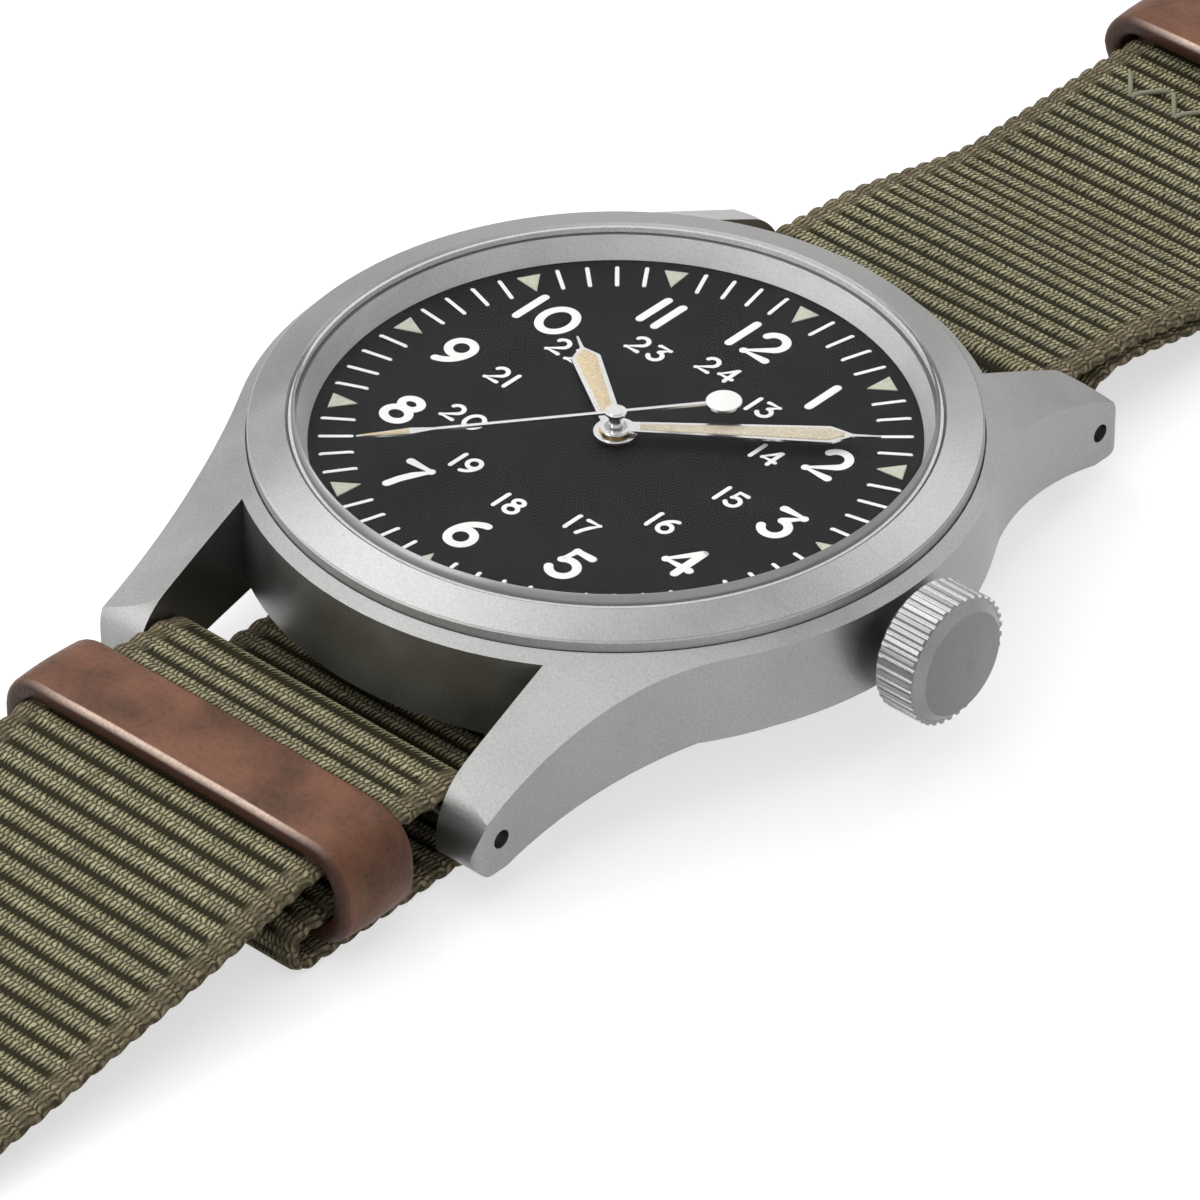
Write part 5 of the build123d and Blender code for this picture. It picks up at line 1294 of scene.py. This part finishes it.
@dataclass
class LeatherLoop:
    """A closed leather loop round the webbing.

    Attributes:
        outer_x: Half its width outside, in millimetres.
        start_y: Where it starts along the strap.
        end_y: Where it ends.
        low: Its lowest height.
        high: Its highest height.
        thickness: The leather's thickness.
        corner: The radius of the loop's centre line at its corners.
        crown: How far the top's middle stands over its ends.
        rounding: The radius of the leather's rounded edges.
        skin: How far the face lies inside the leather's full thickness.
        swell: How far the face waves in and out.
        waves: How many waves a millimetre has.
        draw: How far the face falls at its edges.
        around: How many rows of faces it has round the loop.
        face_runs: How many runs of faces a flat side has.
    """

    outer_x: float
    start_y: float
    end_y: float
    low: float
    high: float
    thickness: float = 1.2
    corner: float = 1.9
    crown: float = 0.18
    rounding: float = 0.42
    skin: float = 0.05
    swell: float = 0.05
    waves: float = 0.25
    draw: float = 0.12
    around: int = 132
    face_runs: int = 6

    def centre_line(self) -> list[tuple[Vector, Vector]]:
        """The middle of the leather, round the loop.

        Returns:
            Its places (x, z) with their outward normals.
        """
        half_w = self.outer_x - self.thickness / 2
        low, high = self.low + self.thickness / 2, self.high - self.thickness / 2
        route = BandRoute(
            [(0, low), (-half_w, low), (-half_w, high), (half_w, high), (half_w, low), (0, low)],
            [self.corner] * 4,
        )
        line = []
        for i in range(self.around):
            place, normal = route.at(route.length * i / self.around)
            if place.y > (low + high) / 2:
                place = place - Vector((0, self.crown * (place.x / half_w) ** 2))
            line.append((place, normal))
        return line

    def section(self) -> list[tuple[float, float, float]]:
        """The leather's cross-section.

        Returns:
            Points (x, z, u) in order: along the strap, out of the loop, and how far from the face's middle.
        """
        half_t, half_w = self.thickness / 2, (self.end_y - self.start_y) / 2
        flat_w, flat_t = half_w - self.rounding, half_t - self.rounding
        corners: list[tuple[float, float, float]] = []
        for side_w, side_t, first in ((1, 1, 90), (1, -1, 0), (-1, -1, -90), (-1, 1, -180)):
            radii = (self.rounding, self.rounding)
            for x, z in arc((side_w * flat_w, side_t * flat_t), radii, first, first - 90, 4):
                on_face = abs(x) < flat_w + 0.01 and z > 0
                corners.append((x, z, x if on_face else math.copysign(half_w + half_t - z, x)))
        points = []
        for here, there in zip(corners, corners[1:] + corners[:1]):
            points.append(here)
            if abs(there[0] - here[0]) > 1:
                shares = [i / self.face_runs for i in range(1, self.face_runs)]
                points += [tuple(a + (b - a) * share for a, b in zip(here, there)) for share in shares]
        return points

    def build(self, name: str) -> bpy.types.Object:
        """Makes the loop.

        Args:
            name: The piece's name.

        Returns:
            The new object.
        """
        line, section = self.centre_line(), self.section()
        half_w, middle_y = (self.end_y - self.start_y) / 2, (self.start_y + self.end_y) / 2
        shape = bmesh.new()
        bmesh.ops.create_grid(shape, x_segments=len(section), y_segments=self.around, size=1)
        marks: dict[bmesh.types.BMVert, Point] = {}
        for vert in shape.verts:
            column, share = grid_place(vert, len(section))
            row = round(share * self.around) % self.around
            x, z, u = section[column % len(section)]
            place, normal = line[row]
            swell = self.swell * noise.noise(Vector((*(place * self.waves), middle_y)))
            draw = self.draw * (x / half_w) ** 2 if z > 0 else 0.0
            at = place + normal * (z - self.skin + swell - draw)
            marks[vert] = (u * MM, row / self.around)
            vert.co = Vector((at.x, middle_y + x, at.y)) * MM
        unwrap(shape, lambda vert: marks[vert])
        bmesh.ops.remove_doubles(shape, verts=shape.verts, dist=1e-7)
        bmesh.ops.recalc_face_normals(shape, faces=shape.faces)
        return as_object(name, shape, KEEPER_LEATHER.material())


# Dial and hands


def glyph(digit: str) -> tuple[float, list[list[Point]]]:
    """The strokes of a plain numeral.

    Args:
        digit: One of the ten digits.

    Returns:
        Its width and the middle lines of its strokes, in heights.
    """
    ring = arc((0.31, 0.31), (0.31, 0.31), 0, 360, 22)
    stem = arc((0.64, 0.31), (0.64, 0.70), 180, 101, 10)
    strokes: dict[str, tuple[float, list[list[Point]]]] = {
        "0": (0.8, [arc((0.4, 0.5), (0.4, 0.5), 90, 450, 28)]),
        "1": (0.0, [[(0, 0), (0, 1)]]),
        "2": (0.66, [arc((0.33, 0.69), (0.31, 0.31), 160, -45, 16) + [(0, 0), (0.66, 0)]]),
        "3": (0.64, [[(0.02, 1), (0.62, 1), (0.29, 0.62)], arc((0.32, 0.31), (0.32, 0.31), 96, -155, 18)]),
        "4": (0.7, [[(0.52, 0), (0.52, 1)], [(0.52, 1), (0, 0.29), (0.7, 0.29)]]),
        "5": (0.64, [[(0.6, 1), (0.15, 1), (0.08, 0.55)] + arc((0.31, 0.32), (0.33, 0.32), 134, -150, 18)]),
        "6": (0.62, [ring, stem]),
        "7": (0.64, [[(0, 1), (0.64, 1), (0.42, 0.64), (0.27, 0.32), (0.18, 0)]]),
        "8": (0.62, [arc((0.31, 0.79), (0.25, 0.21), 0, 360, 20), arc((0.31, 0.275), (0.31, 0.275), 0, 360, 22)]),
        "9": (0.62, [[(0.62 - x, 1 - y) for x, y in line] for line in (ring, stem)]),
    }
    return strokes[digit]


@dataclass
class PrintedDial:
    """The printing on the dial: hour numerals, the inner 13 to 24, the minute track and the lume markers.

    Attributes:
        face_z: The height of the dial's face in millimetres.
        hour_r: The radius of the hour numerals' middles.
        hour_h: The height of an hour numeral.
        hour_w: The width of its strokes.
        inner_r: The radius of the inner numerals' middles.
        inner_h: The height of an inner numeral.
        inner_w: The width of its strokes.
        tick_r: The inner and outer radius of a minute tick.
        tick_w: The width of a tick.
        print_h: The height of the printing, twice over.
        marker: The corners of the marker at 12.
        marker_h: The height of a marker.
        marker_round: The width of its rounded edge.
    """

    face_z: float = 9.1
    hour_r: float = 10.8
    hour_h: float = 2.6
    hour_w: float = 0.47
    inner_r: float = 7.65
    inner_h: float = 1.4
    inner_w: float = 0.25
    tick_r: tuple[float, float] = (13.05, 14.6)
    tick_w: float = 0.22
    print_h: float = 0.05
    marker: tuple[Point, ...] = ((-0.62, 14.5), (0, 13.1), (0.62, 14.5))
    marker_h: float = 0.07
    marker_round: float = 0.05

    def dress(self) -> None:
        """Makes the numerals, the ticks and the markers."""
        numerals, inner, ticks = [], [], []
        for hour in range(1, 13):
            way = clock_way(30 * hour)
            numerals += self.number(str(hour), way * self.hour_r, self.hour_h, self.hour_w)
            inner += self.number(str(hour + 12), way * self.inner_r, self.inner_h, self.inner_w)
        for minute in range(60):
            if minute % 5:
                ticks.append([tuple(clock_way(6 * minute) * r) for r in self.tick_r])
        for name, lines, width in (
            ("hour_numerals", numerals, self.hour_w),
            ("inner_numerals", inner, self.inner_w),
            ("minute_ticks", ticks, self.tick_w),
        ):
            finished(self.strokes(name, lines, width), "case", "seconds_white")
        finished(self.markers(), "case", "seconds_white")

    def number(self, text: str, middle: Vector, height: float, width: float) -> list[list[Point]]:
        """The middle lines of a number's strokes on the dial.

        Args:
            text: The digits.
            middle: The number's middle (x, y) in millimetres.
            height: The number's whole height.
            width: The width of its strokes.

        Returns:
            The strokes' middle lines in millimetres.
        """
        scale, gap_widths = height - width, 2.1
        gap = gap_widths * width / scale
        reached, lines = 0.0, []
        for digit in text:
            wide, strokes = glyph(digit)
            lines += [[(reached + x, y) for x, y in line] for line in strokes]
            reached += wide + gap
        whole = reached - gap
        return [[(middle.x + (x - whole / 2) * scale, middle.y + (y - 0.5) * scale) for x, y in line] for line in lines]

    def strokes(self, name: str, lines: Sequence[Sequence[Point]], width: float) -> bpy.types.Object:
        """Prints strokes with round ends as low domed lines, at three heights so that no two tops meet.

        Args:
            name: The piece's name.
            lines: The middle lines in millimetres.
            width: The strokes' width in millimetres.

        Returns:
            The new object.
        """
        layers, layer_h = 3, 0.06
        raised = [[(x, y, layer_h * (number % layers)) for x, y in line] for number, line in enumerate(lines)]
        shape = round_lines(raised, width / 2, 1)
        for x, y in (corner for line in lines for corner in self.corners(line)):
            at = Matrix.Translation((x, y, 0))
            bmesh.ops.create_uvsphere(shape, u_segments=12, v_segments=6, radius=width / 2, matrix=at)
        flat = self.print_h / width
        for vert in shape.verts:
            vert.co = Vector((vert.co.x, vert.co.y, self.face_z + vert.co.z * flat)) * MM
        return as_object(name, shape, PRINT_WHITE.material())

    @staticmethod
    def corners(line: Sequence[Point]) -> list[Point]:
        """The ends and sharp corners of a stroke, which get a round cap.

        Args:
            line: The stroke's middle line.

        Returns:
            The places of the caps.
        """
        if is_ring(line):
            return []
        capped, sharp = [line[0], line[-1]], math.radians(30)
        for before, here, after in zip(line, line[1:], line[2:]):
            first, second = Vector(here) - Vector(before), Vector(after) - Vector(here)
            if first.angle(second) > sharp:
                capped.append(here)
        return capped

    def markers(self) -> bpy.types.Object:
        """The twelve lume triangles at the hours.

        Returns:
            The new object.
        """
        shape = bmesh.new()
        for hour in range(12):
            turn = Matrix.Rotation(math.radians(-30 * hour), 4, "Z")
            corners = [turn @ Vector((*corner, 0)) for corner in self.marker]
            add_plate(shape, corners, self.marker_h, self.marker_round)
        for vert in shape.verts:
            vert.co = (vert.co + Vector((0, 0, self.face_z))) * MM
        bmesh.ops.recalc_face_normals(shape, faces=shape.faces)
        return as_object("hour_markers", shape, LUME_CREAM.material())


@dataclass
class HandLume:
    """A lume fill on a hand.

    Attributes:
        name: The piece's name.
        body: The body that carries the hand.
        angle: The hand's clock angle in degrees.
        top_z: The height of the hand's upper face in millimetres.
        finish: The fill's finish.
        outline: The fill's (distance, width) stations along the hand.
        height: The fill's height.
        rounding: The width of its rounded edge.
    """

    name: str
    body: str
    angle: float
    top_z: float
    finish: PaintFinish
    outline: tuple[Point, ...]
    height: float = 0.05
    rounding: float = 0.04

    def dress(self) -> None:
        """Makes the fill as a low domed shape on the hand."""
        shape = bmesh.new()
        right = [(wide / 2, reach, 0) for reach, wide in self.outline]
        left = [(-wide / 2, reach, 0) for reach, wide in reversed(self.outline)]
        add_plate(shape, right + left, self.height, self.rounding)
        turn = Matrix.Rotation(math.radians(-self.angle), 4, "Z")
        for vert in shape.verts:
            vert.co = (turn @ vert.co + Vector((0, 0, self.top_z))) * MM
        bmesh.ops.recalc_face_normals(shape, faces=shape.faces)
        finished(as_object(self.name, shape, self.finish.material()), self.body, "hand_steel")


@dataclass
class CrystalRing:
    """The crystal's ground wall and bevel, a skin just over the glass.

    Attributes:
        profile: The skin's (radius, height) points in millimetres, from the foot up.
        steps: How many faces it has round the crystal.
    """

    profile: tuple[Point, ...] = ((15.985, 10.6), (15.985, 11.03), (15.8, 11.215))
    steps: int = 256

    def dress(self) -> None:
        """Turns the skin about the dial's axis."""
        shape = bmesh.new()
        points = [shape.verts.new((r * MM, 0, z * MM)) for r, z in self.profile]
        edges = [shape.edges.new(pair) for pair in zip(points, points[1:])]
        whole = {"cent": (0, 0, 0), "axis": (0, 0, 1), "angle": 2 * math.pi, "use_merge": True}
        bmesh.ops.spin(shape, geom=points + edges, steps=self.steps, **whole)
        for face in shape.faces:
            face.normal_update()
        inward = [f for f in shape.faces if f.normal.dot(f.calc_center_median() * Vector((1, 1, 0))) < 0]
        bmesh.ops.reverse_faces(shape, faces=inward)
        finished(as_object("crystal_bevel", shape, CRYSTAL_BEVEL.material()), "case", "crystal")


@dataclass
class SecondsDisc:
    """The white disc on the seconds hand's tail.

    Attributes:
        angle: The hand's clock angle in degrees.
        top_z: The height of the hand's upper face in millimetres.
        reach: The distance of the disc's middle from the centre.
        radius: Its radius.
        depth: Its thickness.
        rounding: The width of its rounded edge, and the height of its middle over the hand.
    """

    angle: float
    top_z: float
    reach: float = -5.4
    radius: float = 0.88
    depth: float = 0.03
    rounding: float = 0.012

    def dress(self) -> None:
        """Makes the painted disc."""
        shape = bmesh.new()
        middle = Vector((*(clock_way(self.angle) * self.reach), self.top_z + self.rounding))
        at = Matrix.Translation(middle)
        round_end = {"segments": 40, "radius1": self.radius, "radius2": self.radius}
        bmesh.ops.create_cone(shape, cap_ends=True, depth=self.depth, matrix=at, **round_end)
        soften(shape, lambda vert: vert.co.z > middle.z, self.rounding)
        bmesh.ops.scale(shape, vec=(MM, MM, MM), verts=shape.verts)
        finished(as_object("seconds_tail_disc", shape, DISC_WHITE.material()), "seconds_train", "seconds_white")


@dataclass
class Stitches:
    """A zig-zag row of stitches across the strap.

    Attributes:
        middle_y: The row's middle along the strap in millimetres.
        top_z: The height of the webbing there.
        half_x: Half the row's length.
        step: The distance from stitch to stitch.
        swing: Half the row's width.
        thread_r: The thread's radius.
        hump: A stitch's shape, as shares of its length and heights over the webbing.
    """

    middle_y: float = 48.6
    top_z: float = 2.98
    half_x: float = 7.8
    step: float = 1.5
    swing: float = 0.9
    thread_r: float = 0.14
    hump: tuple[Point, ...] = (
        (0.0, -0.4),
        (0.06, -0.12),
        (0.2, 0.02),
        (0.5, 0.06),
        (0.8, 0.02),
        (0.94, -0.12),
        (1.0, -0.4),
    )

    def dress(self) -> None:
        """Makes the thread as one line of short humps."""
        stitches = []
        for i in range(round(2 * self.half_x / self.step)):
            swing = self.swing * (-1) ** i
            start = Vector((-self.half_x + i * self.step, self.middle_y + swing, self.top_z))
            end = Vector((-self.half_x + (i + 1) * self.step, self.middle_y - swing, self.top_z))
            stitches.append([start.lerp(end, share) + Vector((0, 0, lift)) for share, lift in self.hump])
        shape = round_lines(stitches, self.thread_r, 2)
        bmesh.ops.scale(shape, vec=(MM, MM, MM), verts=shape.verts)
        finished(as_object("strap_stitches", shape, STITCH_THREAD.material()), "strap_buckle_side", "webbing")


# Studio


@dataclass
class Studio:
    """The camera at the photograph's angle, the plain lamps, the pale floor and the white backdrop.

    Attributes:
        eye: The camera's place in millimetres.
        azimuth: The camera's azimuth in degrees.
        elevation: Its elevation in degrees.
        roll: Its roll in degrees.
        lens: Its focal length on the sensor, in millimetres.
        sensor: The sensor's width.
        clip: The nearest and farthest distance that it sees, in metres.
        sky: The strength of the world's light on the object.
        floor_r: The floor's radius in metres.
        floor_grey: The floor's own colour.
        floor_glow: How strongly it shines to the camera.
    """

    eye: tuple[float, float, float] = (239.13, -262.30, 265.48)
    azimuth: float = 42.4854
    elevation: float = 36.8971
    roll: float = -0.2109
    lens: float = 266.19
    sensor: float = 36.0
    clip: tuple[float, float] = (0.01, 10.0)
    sky: float = 0.55
    floor_r: float = 2.5
    floor_grey: float = 0.5
    floor_glow: float = 0.62

    def build(self) -> None:
        """Makes the camera, the lamps, the floor and the world."""
        self.camera()
        self.lamp("overhead_softbox", (-0.05, -0.25, 0.85), 0.9, 2.2)
        self.lamp("left_softbox", (-0.51, 0.08, 0.74), 0.42, 1.55)
        self.lamp("back_softbox", (-0.09, 0.64, 0.625), 0.42, 0.95)
        self.lamp("front_softbox", (-0.33, -0.72, 0.37), 0.5, 1.7)
        self.lamp("side_softbox", (-0.8, -0.29, 0.28), 0.35, 1.0)
        self.floor()
        self.world()
        bpy.context.scene.view_settings.view_transform = "Standard"

    def camera(self) -> None:
        """Places the camera."""
        azimuth, elevation = math.radians(self.azimuth), math.radians(self.elevation)
        level = math.cos(elevation)
        back = Vector((math.sin(azimuth) * level, -math.cos(azimuth) * level, math.sin(elevation)))
        lens = bpy.data.cameras.new("photo_camera")
        lens.lens, lens.sensor_width = self.lens, self.sensor
        lens.clip_start, lens.clip_end = self.clip
        eye = bpy.data.objects.new("photo_camera", lens)
        bpy.context.scene.collection.objects.link(eye)
        eye.location = Vector(self.eye) * MM
        eye.rotation_mode = "QUATERNION"
        eye.rotation_quaternion = (-back).to_track_quat("-Z", "Y") @ Quaternion((0, 0, 1), math.radians(self.roll))
        bpy.context.scene.camera = eye

    @staticmethod
    def lamp(name: str, place: Sequence[float], size: float, power: float) -> None:
        """Hangs a square softbox that faces the watch.

        Args:
            name: The lamp's name.
            place: Where it hangs, in metres.
            size: Its side in metres.
            power: Its power in watts.
        """
        light = bpy.data.lights.new(name, "AREA")
        light.shape, light.size, light.energy = "SQUARE", size, power
        hung = bpy.data.objects.new(name, light)
        bpy.context.scene.collection.objects.link(hung)
        hung.location = place
        hung.rotation_mode = "QUATERNION"
        hung.rotation_quaternion = (-Vector(place)).to_track_quat("-Z", "Y")

    @staticmethod
    def seen(tree: Tree) -> Socket:
        """Tells the rays that see the white room.

        Args:
            tree: The tree of the floor's material or the world.

        Returns:
            One for camera, glossy and transmission rays, and nought for the rest.
        """
        ray = tree.add("LightPath")
        shiny = tree.maths("MAXIMUM", ray.outputs["Is Glossy Ray"], ray.outputs["Is Transmission Ray"])
        return tree.maths("MAXIMUM", ray.outputs["Is Camera Ray"], shiny)

    def floor(self) -> None:
        """Lays a pale floor that keeps the watch's shadow and fades into the backdrop."""
        shape = bmesh.new()
        bmesh.ops.create_circle(shape, cap_ends=True, segments=96, radius=self.floor_r)
        material, tree, shader = shader_of("studio_floor")
        tree.fill(
            shader,
            Base_Color=(*[self.floor_grey] * 3, 1),
            Roughness=0.9,
            Specular_IOR_Level=0.0,
            Emission_Color=WHITE,
            Emission_Strength=tree.times(self.seen(tree), self.floor_glow),
        )
        as_object("studio_floor", shape, material)

    def world(self) -> None:
        """Lights the world plainly, and shows it white."""
        world = bpy.data.worlds.new("studio_world")
        world.use_nodes = True
        bpy.context.scene.world = world
        tree = Tree(world.node_tree)
        strength = tree.ramp(self.seen(tree), 0.0, 1.0, self.sky, 1.0)
        tree.fill(world.node_tree.nodes["Background"], Color=WHITE, Strength=strength)


def dress_cad() -> None:
    """Gives every CAD node its own finish."""
    finish_of = {name: finish for finish, names in CAD_FINISHES.items() for name in names}
    for name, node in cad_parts.items():
        node.data.materials.clear()
        node.data.materials.append(finish_of.get(name, MOVEMENT_STEEL).material())
    LOG.info("%d nodes have their finish", len(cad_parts))


def dress_hands() -> None:
    """Fills the hands at the photograph's time, and paints the disc."""
    hour_line, minute_line = ((1.45, 0.56), (6.45, 1.08), (7.0, 0.3)), ((1.2, 0.44), (10.5, 0.98), (11.3, 0.24))
    seconds_line, seconds_angle, seconds_z = ((10.25, 0.34), (12.6, 0.1)), 218.6, 10.64
    HandLume("hour_lume", "hours", 304.3, 9.46, LUME_TAN, hour_line).dress()
    HandLume("minute_lume", "minutes", 51.7, 9.74, LUME_SAND, minute_line).dress()
    HandLume("seconds_lume", "seconds_train", seconds_angle, seconds_z, LUME_TAN, seconds_line).dress()
    SecondsDisc(seconds_angle, seconds_z).dress()


def main() -> None:
    """Builds the studio and every piece."""
    logging.basicConfig(level=logging.INFO)
    Studio().build()
    dress_cad()
    Strap().dress()
    Stitches().dress()
    PrintedDial().dress()
    dress_hands()
    CrystalRing().dress()


if __name__ == "__main__":
    main()
